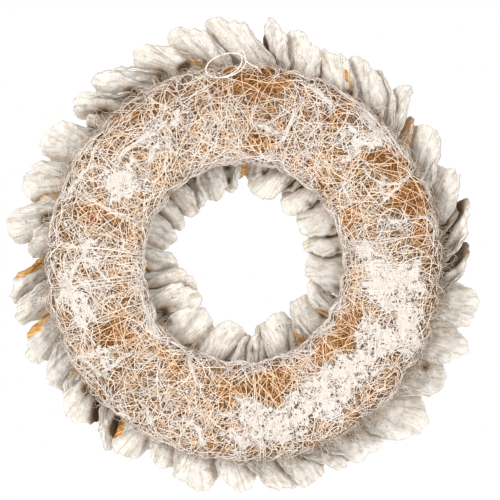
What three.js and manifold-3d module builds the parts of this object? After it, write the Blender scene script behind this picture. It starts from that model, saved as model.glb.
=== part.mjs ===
// Tree fungus wreath, 400 mm across, hung upright by the wire eye on its back.
// A ring wound of plant fibre carries about a hundred dried bracket fungi. They stand in four
// rows, two at its rims and two on its front, and all lean anticlockwise seen from behind.
// Millimetres, +Z up, the back faces -Y. Everything is drawn about the centre of the ring,
// and one group moves it so that the nail bears on the eye at the origin.
import * as THREE from 'three';
import { mergeVertices } from 'three/addons/utils/BufferGeometryUtils.js';
import Module from 'manifold-3d';

const wasm = await Module();
wasm.setup();

// Driving dimensions of the fibre ring
const RING_OUTER = 166;
const RING_INNER = 85;
const RING_HALF_DEPTH = 24.5;
const RING_ROUNDNESS = 2.5;
const BACK_PLANE = -22;
const RING_MID = (RING_OUTER + RING_INNER) / 2;
const RING_HALF_WIDTH = (RING_OUTER - RING_INNER) / 2;
const RING_SECTION_STEPS = 16;

// Binding threads pull the fibre in at these places round the ring, in degrees
const THREAD_ANGLES = [7, 27, 38, 71, 98, 122, 137, 159, 176, 188, 202, 214, 237, 273, 286, 327, 355];
const THREAD_PINCH = 2.4;
const THREAD_SPREAD = 1.6;
const COLUMN_BESIDE_THREAD = 2.2;
const WIDEST_COLUMN = 10;

// Clearances between neighbouring solids
const ROOT_CLEARANCE = 0.4;
const SEAT_GAP = 0.4;
const PIECE_GAP = 0.5;

const FIBRE = { color: 0xc79a66, roughness: 0.95, metalness: 0 };
const CHALKY = { color: 0xd2cbc0, roughness: 0.9, metalness: 0 };
const WIRE = { color: 0xe4e0d8, roughness: 0.6, metalness: 0.2 };

// The tone of chalky pieces varies a little from node to node
const TONE_STEP = 0.03;

const radians = THREE.MathUtils.degToRad;
const FRONT = new THREE.Vector3(0, 1, 0);

function outward(deg) {
  return new THREE.Vector3(Math.cos(radians(deg)), 0, Math.sin(radians(deg)));
}

function anticlockwise(deg) {
  return new THREE.Vector3(-Math.sin(radians(deg)), 0, Math.cos(radians(deg)));
}

// A repeatable draw from 0 to 1 for a pair of whole numbers
function draw(index, channel) {
  const wave = Math.sin(index * 127.1 + channel * 311.7 + 74.7) * 43758.5453;
  return wave - Math.floor(wave);
}

function spread(index, channel, amount) {
  return (draw(index, channel) * 2 - 1) * amount;
}

function signedPower(value, power) {
  return Math.sign(value) * Math.abs(value) ** power;
}

function toSolid(geometry) {
  geometry.deleteAttribute('normal');
  geometry.deleteAttribute('uv');
  const merged = mergeVertices(geometry);
  return new wasm.Manifold(new wasm.Mesh({
    numProp: 3,
    vertProperties: new Float32Array(merged.attributes.position.array),
    triVerts: new Uint32Array(merged.index.array),
  }));
}

function toGeometry(solid) {
  const mesh = solid.getMesh();
  const geometry = new THREE.BufferGeometry();
  geometry.setAttribute('position', new THREE.BufferAttribute(mesh.vertProperties, 3));
  geometry.setIndex(new THREE.BufferAttribute(mesh.triVerts, 1));
  geometry.computeVertexNormals();
  return geometry;
}

function indexedGeometry(points, faces) {
  const geometry = new THREE.BufferGeometry();
  const coordinates = points.flatMap((point) => [point.x, point.y, point.z]);
  geometry.setAttribute('position', new THREE.Float32BufferAttribute(coordinates, 3));
  geometry.setIndex(faces);
  return geometry;
}

// Fibre ring: a flattened round section, pinched in at each thread and ridged by the winding
function angleBetween(a, b) {
  return Math.abs(((a - b + 540) % 360) - 180);
}

function threadPinch(deg) {
  const nearest = Math.min(...THREAD_ANGLES.map((thread) => angleBetween(deg, thread)));
  return THREAD_PINCH * Math.exp(-((nearest / THREAD_SPREAD) ** 2));
}

function windingRelief(deg, section) {
  const around = radians(deg);
  const steep = Math.sin(23 * around + 2 * section);
  const shallow = Math.sin(17 * around - 3 * section + 1);
  const underPieces = THREE.MathUtils.smoothstep(Math.sin(section), 0.1, 0.6);
  return 0.55 * (steep + shallow) * (1 - underPieces);
}

function innerBulge(deg) {
  return 3.5 * Math.exp(-((angleBetween(deg, 222) / 16) ** 2));
}

function ringPoint(deg, section, grow = 0) {
  const swell = windingRelief(deg, section) - threadPinch(deg) + grow;
  const across = signedPower(Math.cos(section), 2 / RING_ROUNDNESS);
  const deep = signedPower(Math.sin(section), 2 / RING_ROUNDNESS);
  const inward = across < 0 ? -across * innerBulge(deg) : 0;
  const radius = RING_MID + across * (RING_HALF_WIDTH + swell) + inward;
  const depth = Math.max(deep * (RING_HALF_DEPTH + swell), BACK_PLANE - grow);
  return outward(deg).multiplyScalar(radius).addScaledVector(FRONT, depth);
}

function ringColumns() {
  const marks = [];
  THREAD_ANGLES.forEach((thread, i) => {
    const next = THREAD_ANGLES[(i + 1) % THREAD_ANGLES.length];
    const from = thread + COLUMN_BESIDE_THREAD;
    const gap = (next - COLUMN_BESIDE_THREAD - from + 360) % 360;
    const steps = Math.ceil(gap / WIDEST_COLUMN);
    marks.push(thread);
    for (let k = 0; k <= steps; k += 1) marks.push(from + (gap * k) / steps);
  });
  return marks;
}

function ringGeometry(grow) {
  const columns = ringColumns();
  const points = [];
  const faces = [];
  const n = RING_SECTION_STEPS;
  columns.forEach((deg, i) => {
    const next = ((i + 1) % columns.length) * n;
    for (let k = 0; k < n; k += 1) {
      points.push(ringPoint(deg, (2 * Math.PI * k) / n - Math.PI / 2, grow));
      const here = i * n + k;
      const up = i * n + ((k + 1) % n);
      const across = next + k;
      const both = next + ((k + 1) % n);
      faces.push(here, up, across, up, both, across);
    }
  });
  return indexedGeometry(points, faces);
}

// One bracket fungus: a shell from a narrow root to a lobed, thin, rounded margin.
// Its cap side has zones across it, and its gill side has ribs running out to the margin.
const CAP = 1;
const GILLS = -1;
const HALF_FAN = 1.95;
const FAN_SQUARENESS = 0.78;
const ZONES = [0, 0.42, 0.86, 1];
const ZONE_RIDGE = [0, 0.6, -0.3, 0];

function lobeFactor(piece, turn) {
  const broad = Math.cos(2 * turn + piece.broadPhase);
  const fine = Math.cos(5 * turn + piece.finePhase);
  return 1 + piece.lobes * (0.5 * broad + 0.5 * fine);
}

function outlinePoint(piece, s, q, grow) {
  const turn = q * HALF_FAN;
  const centre = 0.45 * piece.length;
  const lobe = lobeFactor(piece, turn);
  const marginX = (piece.width / 2 + grow) * signedPower(Math.sin(turn), FAN_SQUARENESS) * lobe;
  const reach = (piece.length - centre + grow) * signedPower(Math.cos(turn), FAN_SQUARENESS) * lobe;
  const marginY = centre + reach;
  return [THREE.MathUtils.lerp((piece.rootWidth / 2 + grow) * q, marginX, s), marginY * s];
}

function looseBracketPoint(piece, zone, column, side, grow) {
  const s = ZONES[zone];
  const q = (2 * column) / piece.columns - 1;
  const [x, y] = outlinePoint(piece, s, q, grow);
  const arch = piece.arch * (1 - ((2 * x) / piece.width) ** 2) * s;
  const curl = piece.curl * (y / piece.length) ** 2;
  const wave = piece.wave * s * s * Math.sin(3 * q * HALF_FAN + piece.broadPhase);
  const rounded = s < 1 ? Math.sqrt(1 - q ** 6) : 0;
  const half = THREE.MathUtils.lerp(piece.thick, piece.margin, Math.sqrt(s)) / 2 + grow;
  const ridge = side === CAP ? ZONE_RIDGE[zone] : piece.gill * s * (column % 2 ? 0.5 : -0.5);
  return piece.root.clone()
    .addScaledVector(piece.acrossAxis, x)
    .addScaledVector(piece.lengthAxis, y)
    .addScaledVector(piece.faceAxis, arch + curl + wave + side * rounded * (half + ridge));
}

// The root is cut off flat along the face of the ring, and the rest follows it less and less
function bracketPoint(piece, zone, column, side, grow) {
  const rootPoint = looseBracketPoint(piece, 0, column, side, grow);
  const height = rootPoint.sub(piece.root).dot(piece.seatNormal);
  const slide = (ROOT_CLEARANCE - grow - height) / piece.lengthAxis.dot(piece.seatNormal);
  const point = looseBracketPoint(piece, zone, column, side, grow);
  return point.addScaledVector(piece.lengthAxis, slide * (1 - ZONES[zone]));
}

// A mesh in the making: points, and faces of three or four corners that can be taken out again
function bracketShell(piece, grow = 0) {
  const n = piece.columns;
  const points = [];
  const quads = new Map();
  const at = (side, zone, column) => {
    const row = side === CAP ? zone : ZONES.length + zone;
    return row * (n + 1) + column;
  };
  [CAP, GILLS].forEach((side) => {
    ZONES.forEach((s, zone) => {
      for (let column = 0; column <= n; column += 1) {
        points.push(bracketPoint(piece, zone, column, side, grow));
      }
    });
    for (let zone = 0; zone + 1 < ZONES.length; zone += 1) {
      for (let j = 0; j < n; j += 1) {
        const rootward = [at(side, zone, j), at(side, zone, j + 1)];
        const marginward = [at(side, zone + 1, j + 1), at(side, zone + 1, j)];
        quads.set(`${side} ${zone} ${j}`, [...rootward, ...marginward]);
      }
    }
  });
  for (let j = 0; j < n; j += 1) {
    const [here, next] = [[at(CAP, 0, j), at(GILLS, 0, j)], [at(GILLS, 0, j + 1), at(CAP, 0, j + 1)]];
    quads.set(`root ${j}`, [...here, ...next]);
  }
  return { points, quads };
}

function middleOf(points, corners) {
  return corners.reduce((sum, corner) => sum.add(points[corner]), new THREE.Vector3()).divideScalar(4);
}

// Pieces that share a node grow together at the root: the cap side of one and the gill side
// of the next open towards each other in one column, and a web closes them together
function nearestColumns(from, to, columns) {
  let best = null;
  for (let j = 0; j < columns; j += 1) {
    for (let k = 0; k < columns; k += 1) {
      const start = middleOf(from.points, from.quads.get(`${CAP} 0 ${j}`));
      const end = middleOf(to.points, to.quads.get(`${GILLS} 0 ${k}`));
      const length = start.distanceTo(end);
      if (!best || length < best.length) best = { length, j, k };
    }
  }
  return best;
}

function addQuad(faces, [a, b, c, d]) {
  faces.push(a, b, c, a, c, d);
}

function shellFaces(shell, offset, faces) {
  shell.quads.forEach((corners, key) => {
    const shifted = corners.map((corner) => corner + offset);
    addQuad(faces, key.startsWith(`${GILLS}`) ? shifted.reverse() : shifted);
  });
}

function websBetween(shells, columns) {
  return shells.slice(1).map((shell, i) => {
    const { j, k } = nearestColumns(shells[i], shell, columns);
    return { i, fromKey: `${CAP} 0 ${j}`, toKey: `${GILLS} 0 ${k}` };
  });
}

function clumpGeometry(pieces) {
  const shells = pieces.map((piece) => bracketShell(piece));
  const points = [];
  const faces = [];
  const offsets = shells.map((shell) => points.push(...shell.points) - shell.points.length);
  websBetween(shells, pieces[0].columns).forEach(({ i, fromKey, toKey }) => {
    const from = shells[i].quads.get(fromKey).map((corner) => corner + offsets[i]);
    const to = shells[i + 1].quads.get(toKey).map((corner) => corner + offsets[i + 1]);
    shells[i].quads.delete(fromKey);
    shells[i + 1].quads.delete(toKey);
    for (let c = 0; c < 4; c += 1) {
      const next = (c + 1) % 4;
      addQuad(faces, [from[c], from[next], to[next], to[c]]);
    }
  });
  shells.forEach((shell, i) => shellFaces(shell, offsets[i], faces));
  return indexedGeometry(points, dropFlat(points, faces));
}

// What is cut out of a later neighbour: every piece and web of a clump, a little larger
function clumpCutters(pieces, grow) {
  const shells = pieces.map((piece) => bracketShell(piece));
  const cutters = pieces.map((piece) => {
    const shell = bracketShell(piece, grow);
    const faces = [];
    shellFaces(shell, 0, faces);
    return toSolid(indexedGeometry(shell.points, dropFlat(shell.points, faces)));
  });
  websBetween(shells, pieces[0].columns).forEach(({ i, fromKey, toKey }) => {
    const ends = [[shells[i], fromKey], [shells[i + 1], toKey]].map(([shell, key]) => {
      const corners = shell.quads.get(key).map((corner) => shell.points[corner]);
      return corners.map((corner, c) => {
        const before = corner.clone().sub(corners[(c + 3) % 4]).normalize();
        const after = corner.clone().sub(corners[(c + 1) % 4]).normalize();
        return corner.clone().addScaledVector(before.add(after), 1.5 * grow);
      });
    });
    cutters.push(toSolid(prismGeometry(...ends)));
  });
  return cutters;
}

function prismGeometry(from, to) {
  const faces = [];
  addQuad(faces, [3, 2, 1, 0]);
  addQuad(faces, [4, 5, 6, 7]);
  for (let c = 0; c < 4; c += 1) {
    const next = (c + 1) % 4;
    addQuad(faces, [c, next, next + 4, c + 4]);
  }
  return indexedGeometry([...from, ...to], faces);
}

// Triangles with two corners in one place are left out
function dropFlat(points, faces) {
  const kept = [];
  for (let i = 0; i < faces.length; i += 3) {
    const [a, b, c] = [points[faces[i]], points[faces[i + 1]], points[faces[i + 2]]];
    const closest = Math.min(a.distanceTo(b), b.distanceTo(c), c.distanceTo(a));
    if (closest > 1e-3) kept.push(faces[i], faces[i + 1], faces[i + 2]);
  }
  return kept;
}

// The front of the ring as a smooth face, on which every root is seated
function frontDepthAt(radius) {
  const across = Math.min(1, Math.abs(radius - RING_MID) / RING_HALF_WIDTH);
  return RING_HALF_DEPTH * (1 - across ** RING_ROUNDNESS) ** (1 / RING_ROUNDNESS);
}

function seatNormalAt(point) {
  const radius = Math.hypot(point.x, point.z);
  const slope = frontDepthAt(radius + 0.5) - frontDepthAt(radius - 0.5);
  const away = new THREE.Vector3(point.x, 0, point.z).normalize();
  return away.multiplyScalar(-slope).add(FRONT).normalize();
}

// A piece grows along its length axis, and its cap side faces anticlockwise and backwards
function makePiece(index, root, lengthAxis, tilt, size) {
  const sideways = size.sideways.clone().projectOnPlane(lengthAxis).normalize();
  const acrossAxis = sideways.applyAxisAngle(lengthAxis, radians(tilt));
  return {
    root,
    lengthAxis,
    acrossAxis,
    faceAxis: acrossAxis.clone().cross(lengthAxis),
    seatNormal: seatNormalAt(root),
    length: size.length,
    width: size.width,
    rootWidth: size.width * 0.36,
    thick: 7.5 + spread(index, 1, 1),
    margin: 4.2 + spread(index, 2, 0.6),
    arch: size.width * (0.1 + spread(index, 3, 0.05)),
    curl: spread(index, 4, 3),
    wave: 0.8 + draw(index, 5) * 0.9,
    lobes: 0.07 + draw(index, 6) * 0.07,
    gill: 0.9,
    broadPhase: draw(index, 7) * 2 * Math.PI,
    finePhase: draw(index, 8) * 2 * Math.PI,
    columns: size.columns,
  };
}

// The rim pieces that show from behind, going anticlockwise from the right.
// Each entry: angle where the piece passes the ring's edge, angle of its tip, radius of its
// tip, width and tilt, with angles in degrees.
const OUTER_CENTRE = new THREE.Vector3(2.5, 0, 4.2);
const OUTER_RIM = [
  [-3, 3.5, 187, 36, 48],
  [5, 14, 193, 36, 66],
  [11.5, 15.5, 186, 28, 40],
  [18.5, 24, 190, 42, 26],
  [29, 36, 193, 38, 42],
  [38, 41, 184, 18, 34],
  [43.5, 47, 200, 30, 45],
  [48, 53.5, 191, 36, 36],
  [55, 62, 193, 44, 33],
  [64, 69.5, 188, 40, 30],
  [75, 77, 197, 42, 20],
  [81.5, 83.7, 203, 32, 48],
  [89, 97.5, 205, 42, 36],
  [101, 107, 203, 42, 28],
  [110, 118.5, 198, 42, 36],
  [121, 131, 200, 40, 44],
  [131, 139.3, 198, 38, 58],
  [137.5, 138.3, 181, 22, 24],
  [146.5, 149, 200, 46, 20],
  [158, 161, 201, 44, 22],
  [163, 165.5, 188, 20, 60],
  [168.5, 173, 205, 42, 24],
  [174.5, 177, 185, 34, 26],
  [183.5, 190, 203, 38, 50],
  [190.5, 194.5, 201, 36, 38],
  [200, 205, 202, 40, 30],
  [209, 214, 198, 38, 33],
  [219, 223.5, 201, 46, 24],
  [228, 233, 200, 34, 55],
  [238, 237, 198, 42, 20],
  [246.5, 247.5, 191, 34, 22],
  [255.5, 257.5, 201, 46, 20],
  [266, 269, 195, 40, 22],
  [274, 282.5, 199, 38, 42],
  [283.5, 287.5, 200, 38, 32],
  [289.5, 297, 196, 32, 50],
  [297, 304.5, 198, 40, 34],
  [311.5, 317.5, 206, 52, 22],
  [323.5, 329, 197, 42, 30],
  [335.5, 337.5, 200, 42, 20],
  [346.5, 348, 201, 44, 20],
];
const INNER_CENTRE = new THREE.Vector3(0.8, 0, 0.8);
const INNER_RIM = [
  [-6, 2, 50, 40, 20],
  [12.5, 14.5, 52, 28, 34],
  [29, 31, 55, 38, 20],
  [49.5, 53, 55, 32, 22],
  [60, 63, 67, 20, 45],
  [70, 84, 58, 36, 22],
  [84, 88, 69, 24, 26],
  [92, 94, 71, 16, 60],
  [97, 101.5, 62, 24, 52],
  [111, 110, 59, 30, 20],
  [121.5, 127, 59, 28, 56],
  [136, 136.5, 59, 28, 22],
  [148, 151, 60, 26, 32],
  [160, 163, 61, 28, 25],
  [177, 184, 57, 30, 32],
  [194, 199, 47, 32, 28],
  [206, 212, 49, 36, 20],
  [215, 219, 67, 20, 32],
  [230, 233, 52, 40, 18],
  [241, 243, 75, 18, 40],
  [254, 262, 53, 38, 20],
  [267, 273, 64, 24, 56],
  [279, 286, 54, 28, 36],
  [294, 300, 51, 38, 20],
  [315, 326, 53, 36, 24],
  [331, 341, 58, 28, 52],
];
const OUTER_EDGE_RADIUS = 169;
const OUTER_ROOT_RADIUS = 152;
const INNER_EDGE_RADIUS = 85;
const INNER_ROOT_RADIUS = 99;
const LONGEST_HIDDEN_PART = 30;
const RIM_RISE = 12;
const RIM_COLUMNS = 8;

function rimPiece(entry, index, rim) {
  const [edgeDeg, tipDeg, tipRadius, width, tilt] = entry;
  const edge = rim.centre.clone().addScaledVector(outward(edgeDeg), rim.edgeRadius);
  const tip = rim.centre.clone().addScaledVector(outward(tipDeg), tipRadius);
  const heading = tip.clone().sub(edge).normalize();
  const root = edge.clone();
  let hidden = 0;
  while (hidden < LONGEST_HIDDEN_PART && rim.outer !== root.length() < rim.rootRadius) {
    root.addScaledVector(heading, -1);
    hidden += 1;
  }
  root.y = frontDepthAt(root.length());
  tip.y = root.y + RIM_RISE + spread(index, 9, 3);
  const lengthAxis = tip.clone().sub(root);
  const length = lengthAxis.length();
  const turn = rim.outer ? -1 : 1;
  return makePiece(index, root, lengthAxis.normalize(), turn * tilt, {
    length,
    width,
    sideways: anticlockwise((edgeDeg + tipDeg) / 2).multiplyScalar(turn),
    columns: RIM_COLUMNS,
  });
}

// The rows on the front, which do not show from behind, follow a rule with seeded draws
const FRONT_ROWS = [
  {
    name: 'front_outer',
    count: 18,
    start: 1,
    radius: 138,
    growth: 74,
    lean: 50,
    tilt: -76,
    length: 50,
    width: 46,
  },
  {
    name: 'front_inner',
    count: 16,
    start: 9,
    radius: 112,
    growth: 104,
    lean: 50,
    tilt: -104,
    length: 45,
    width: 42,
  },
];
const FRONT_COLUMNS = 7;

function frontPiece(row, i, index) {
  const deg = row.start + (360 * i) / row.count + spread(index, 10, 1.6);
  const radius = row.radius + spread(index, 11, 1.5);
  const growth = radians(row.growth + spread(index, 12, 5));
  const lean = radians(row.lean + spread(index, 13, 5));
  const root = outward(deg).multiplyScalar(radius).addScaledVector(FRONT, frontDepthAt(radius));
  const lengthAxis = outward(deg).multiplyScalar(Math.cos(growth));
  lengthAxis.addScaledVector(FRONT, Math.sin(growth));
  lengthAxis.multiplyScalar(Math.cos(lean)).addScaledVector(anticlockwise(deg), Math.sin(lean));
  return makePiece(index, root, lengthAxis.normalize(), row.tilt + spread(index, 14, 7), {
    length: row.length + spread(index, 15, 4),
    width: row.width + spread(index, 16, 4),
    sideways: anticlockwise(deg).negate(),
    columns: FRONT_COLUMNS,
  });
}

// Hanging eye: one stiff whitewashed wire, wound into the fibre at the back of the ring
const WIRE_RADIUS = 0.75;
const WIRE_SIDES = 5;
const EYE = { x: -15.2, z: 166, halfLength: 17.2, halfHeight: 9.5, lean: 16.4, steps: 22 };
const EYE_DEPTH_LOW = -20;
const EYE_DEPTH_HIGH = -21.5;
const SECOND_STRAND = [
  [-19, -19.2, 154.2],
  [-12, -20.6, 155.6],
  [-4.5, -21.6, 160.3],
  [0.5, -22, 167],
  [1, -22.2, 172.5],
  [-2.2, -21.8, 176.2],
];
const TAIL = [
  [-5.4, -21.8, 176],
  [-2.6, -22.4, 178.6],
  [0.2, -22.6, 176.4],
  [1.8, -22.2, 170],
  [6, -20.6, 166.6],
  [11.8, -19, 163.6],
  [15.4, -15.2, 158.6],
];

function eyePoint(turn) {
  const lean = radians(EYE.lean);
  const [along, up] = [EYE.halfLength * Math.cos(turn), EYE.halfHeight * Math.sin(turn)];
  const height = along * Math.sin(lean) + up * Math.cos(lean);
  const share = THREE.MathUtils.clamp(0.5 + height / (2 * EYE.halfHeight), 0, 1);
  const depth = THREE.MathUtils.lerp(EYE_DEPTH_LOW, EYE_DEPTH_HIGH, share);
  return new THREE.Vector3(EYE.x + along * Math.cos(lean) - up * Math.sin(lean), depth, EYE.z + height);
}

function loopGeometry(grow) {
  const points = [];
  const faces = [];
  for (let i = 0; i < EYE.steps; i += 1) {
    const turn = (2 * Math.PI * i) / EYE.steps;
    const centre = eyePoint(turn);
    const along = eyePoint(turn + 0.02).sub(eyePoint(turn - 0.02));
    const away = along.cross(FRONT).normalize();
    const next = ((i + 1) % EYE.steps) * WIRE_SIDES;
    for (let k = 0; k < WIRE_SIDES; k += 1) {
      const round = (2 * Math.PI * k) / WIRE_SIDES;
      const radius = WIRE_RADIUS + grow;
      const point = centre.clone().addScaledVector(away, radius * Math.cos(round));
      points.push(point.addScaledVector(FRONT, radius * Math.sin(round)));
      const [here, up] = [i * WIRE_SIDES + k, i * WIRE_SIDES + ((k + 1) % WIRE_SIDES)];
      const [across, both] = [next + k, next + ((k + 1) % WIRE_SIDES)];
      faces.push(here, across, up, up, across, both);
    }
  }
  return indexedGeometry(points, faces);
}

function strandGeometry(route, steps, grow) {
  const path = new THREE.CatmullRomCurve3(route.map((point) => new THREE.Vector3(...point)));
  const outline = new THREE.Shape();
  for (let k = 0; k < WIRE_SIDES; k += 1) {
    const round = (2 * Math.PI * k) / WIRE_SIDES;
    const radius = WIRE_RADIUS + grow;
    if (k === 0) outline.moveTo(radius, 0);
    else outline.lineTo(radius * Math.cos(round), radius * Math.sin(round));
  }
  return new THREE.ExtrudeGeometry(outline, { steps, extrudePath: path, curveSegments: 1 });
}

function eyeSolid(grow) {
  const loop = toSolid(loopGeometry(grow));
  const second = toSolid(strandGeometry(SECOND_STRAND, 7, grow));
  const tail = toSolid(strandGeometry(TAIL, 10, grow));
  return loop.add(second).add(tail);
}

// Nodes: neighbouring pieces of a row are fused at the root, seated on the ring and trimmed
// clear of the pieces that were placed before them
const NODES_IN_ROW = { outer_rim: 15, inner_rim: 9, front_outer: 18, front_inner: 16 };

function rowOfRim(name, entries, firstIndex, rim) {
  return { name, pieces: entries.map((entry, i) => rimPiece(entry, firstIndex + i, rim)) };
}

function rowOfFront(row, firstIndex) {
  const pieces = [];
  for (let i = 0; i < row.count; i += 1) pieces.push(frontPiece(row, i, firstIndex + i));
  return { name: row.name, pieces };
}

function splitRow({ name, pieces }) {
  const count = NODES_IN_ROW[name];
  const nodes = [];
  for (let k = 0; k < count; k += 1) {
    const from = Math.round((k * pieces.length) / count);
    const to = Math.round(((k + 1) * pieces.length) / count);
    const number = String(k + 1).padStart(2, '0');
    nodes.push({ name: `fungus_${name}_${number}`, pieces: pieces.slice(from, to) });
  }
  return nodes;
}

function boxesMeet(a, b) {
  return [0, 1, 2].every((k) => a.max[k] > b.min[k] && b.max[k] > a.min[k]);
}

// Neighbours that cross at the root are joined where they cross, and need no web
function splitWhereCrossing(pieces) {
  const clumps = [[pieces[0]]];
  for (let i = 1; i < pieces.length; i += 1) {
    const one = toSolid(clumpGeometry([pieces[i]]));
    const current = clumps[clumps.length - 1];
    const shared = current.map((piece) => toSolid(clumpGeometry([piece])).intersect(one).volume());
    if (Math.max(...shared) > 0) clumps.push([pieces[i]]);
    else current.push(pieces[i]);
  }
  return clumps;
}

function trimClear(solid, other) {
  if (!boxesMeet(solid.boundingBox(), other.boundingBox())) return solid;
  return solid.intersect(other).volume() > 0 ? solid.subtract(other) : solid;
}

function largestBody(solid) {
  return solid.decompose().reduce((best, body) => (body.volume() > best.volume() ? body : best));
}

const ringSeat = toSolid(ringGeometry(SEAT_GAP));
const outerRim = {
  outer: true,
  centre: OUTER_CENTRE,
  edgeRadius: OUTER_EDGE_RADIUS,
  rootRadius: OUTER_ROOT_RADIUS,
};
const innerRim = {
  outer: false,
  centre: INNER_CENTRE,
  edgeRadius: INNER_EDGE_RADIUS,
  rootRadius: INNER_ROOT_RADIUS,
};
const rows = [
  rowOfRim('outer_rim', OUTER_RIM, 0, outerRim),
  rowOfRim('inner_rim', INNER_RIM, 100, innerRim),
  ...FRONT_ROWS.map((row, k) => rowOfFront(row, 200 + 50 * k)),
];

const wreath = new THREE.Group();
function addMesh(name, solid, finish) {
  const mesh = new THREE.Mesh(toGeometry(solid), new THREE.MeshStandardMaterial(finish));
  mesh.name = name;
  wreath.add(mesh);
}

addMesh('base_ring', toSolid(ringGeometry(0)).subtract(eyeSolid(SEAT_GAP)), FIBRE);
addMesh('hanging_eye', eyeSolid(0), WIRE);

const placed = [];
rows.flatMap(splitRow).forEach(({ name, pieces }, i) => {
  const clumps = splitWhereCrossing(pieces);
  const solids = clumps.map((clump) => toSolid(clumpGeometry(clump)));
  const whole = solids.reduce((sum, clump) => sum.add(clump));
  const solid = [ringSeat, ...placed].reduce(trimClear, whole);
  const tone = new THREE.Color(CHALKY.color).multiplyScalar(1 + spread(i, 20, TONE_STEP));
  addMesh(name, largestBody(solid), { ...CHALKY, color: tone });
  placed.push(whole, ...clumps.flatMap((clump) => clumpCutters(clump, PIECE_GAP)));
});

// The nail bears on the wire at the top of the eye, which is the origin
const bearing = eyePoint(radians(61.9));
wreath.position.set(-bearing.x, -bearing.y, -(bearing.z - WIRE_RADIUS));

const group = new THREE.Group();
group.add(wreath);

export default group;
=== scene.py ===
# %% [markdown]
# # A whitewashed tree fungus wreath, seen from behind
# The object is a ring wound of plant fibre, about 33 cm across, that carries about a hundred
# dried bracket fungi. Everything was brushed with whitewash, and a wire eye hangs it up.
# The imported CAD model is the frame: every piece below stands where one of its solids stands.

# %% Load the frame
import math

import bmesh
import bpy
import numpy as np
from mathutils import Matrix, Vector, noise


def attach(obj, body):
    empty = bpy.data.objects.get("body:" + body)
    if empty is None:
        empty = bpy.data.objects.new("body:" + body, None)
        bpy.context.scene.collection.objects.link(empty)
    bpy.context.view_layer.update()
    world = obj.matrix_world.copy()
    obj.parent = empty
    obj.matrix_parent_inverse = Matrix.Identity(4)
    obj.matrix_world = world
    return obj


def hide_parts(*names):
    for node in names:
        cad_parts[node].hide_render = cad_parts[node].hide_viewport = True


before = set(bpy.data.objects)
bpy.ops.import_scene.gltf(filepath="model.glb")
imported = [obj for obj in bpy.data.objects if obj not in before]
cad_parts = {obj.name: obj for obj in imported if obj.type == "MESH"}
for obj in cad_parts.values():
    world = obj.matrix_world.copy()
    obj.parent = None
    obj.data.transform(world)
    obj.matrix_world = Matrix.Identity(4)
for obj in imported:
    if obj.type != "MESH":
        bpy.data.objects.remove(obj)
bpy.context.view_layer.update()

# %% [markdown]
# The camera comes first, because all later choices are judged through it. The picture was
# taken from straight behind, with a long lens, so there is hardly any perspective. A camera
# four metres away with a lens of about 340 mm gives the same. The frame is 423 mm wide at the
# ring.

# %% Camera
MM = 0.001
CENTRE = np.array((9.794, 21.5, -175.577))
PICTURE_WIDTH = 0.4229
RING_DEPTH = 0.03
CAMERA_DISTANCE = 4.0
SENSOR_WIDTH = 36
FRAME_MIDDLE = (0.01487, -0.16458)

camera_data = bpy.data.cameras.new("camera")
camera_data.sensor_width = SENSOR_WIDTH
camera_data.lens = SENSOR_WIDTH * (CAMERA_DISTANCE + RING_DEPTH) / PICTURE_WIDTH
camera = bpy.data.objects.new("camera", camera_data)
camera.location = (FRAME_MIDDLE[0], -CAMERA_DISTANCE, FRAME_MIDDLE[1])
camera.rotation_euler = (math.pi / 2, 0, 0)
bpy.context.collection.objects.link(camera)
bpy.context.scene.camera = camera
print("lens", round(camera_data.lens))

# %% [markdown]
# All sizes are those of the CAD source, in millimetres about the middle of the ring. A draw
# is a repeatable number between 0 and 1, worked out from two whole numbers. The CAD source
# uses the same formula, so each fungus here gets the size and lean of its solid.

# %% Draws and directions
def draw(index, channel):
    wave = math.sin(index * 127.1 + channel * 311.7 + 74.7) * 43758.5453
    return wave - math.floor(wave)


def spread(index, channel, amount):
    return (draw(index, channel) * 2 - 1) * amount


def outward(deg):
    turn = math.radians(deg)
    return np.array((math.cos(turn), 0, math.sin(turn)))


def anticlockwise(deg):
    turn = math.radians(deg)
    return np.array((-math.sin(turn), 0, math.cos(turn)))


def signed_power(value, power):
    return np.sign(value) * np.abs(value) ** power


def smoothstep(value, low, high):
    t = np.clip((value - low) / (high - low), 0, 1)
    return t * t * (3 - 2 * t)


def to_place(points):
    return (points + CENTRE) * MM


def around_axis(radius, depth, deg):
    turn = np.radians(deg)
    return np.stack((radius * np.cos(turn), depth, radius * np.sin(turn)), axis=-1)


FRONT = np.array((0.0, 1.0, 0.0))
DEGREES_PER_RADIAN = 57.3

# %% [markdown]
# A piece made here is a mesh object at the origin. It rides on the one body of the wreath and
# may replace a CAD node, which then only stays for collision.

# %% Adding a piece
def add_piece(name, mesh, material, replaced=()):
    piece = bpy.data.objects.new(name, mesh)
    bpy.context.collection.objects.link(piece)
    mesh.materials.clear()
    mesh.materials.append(material)
    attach(piece, "root")
    if replaced:
        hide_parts(*replaced)


def mesh_from(bm, name):
    mesh = bpy.data.meshes.new(name)
    bm.to_mesh(mesh)
    bm.free()
    return mesh


def triangle_count(mesh):
    return sum(len(polygon.vertices) - 2 for polygon in mesh.polygons)


# %% [markdown]
# ## Materials
# Every finish is made of nodes. Small helpers keep the node code short: each adds a node, sets
# its inputs, and most of them hand back the output that is used. Two more start and finish a
# material with its Principled shader.

# %% Node helpers
def add_node(tree, kind, inputs=None, **settings):
    node = tree.nodes.new(kind)
    for key, value in settings.items():
        setattr(node, key, value)
    for key, value in (inputs or {}).items():
        if isinstance(value, bpy.types.NodeSocket):
            tree.links.new(value, node.inputs[key])
        else:
            node.inputs[key].default_value = value
    return node


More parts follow.
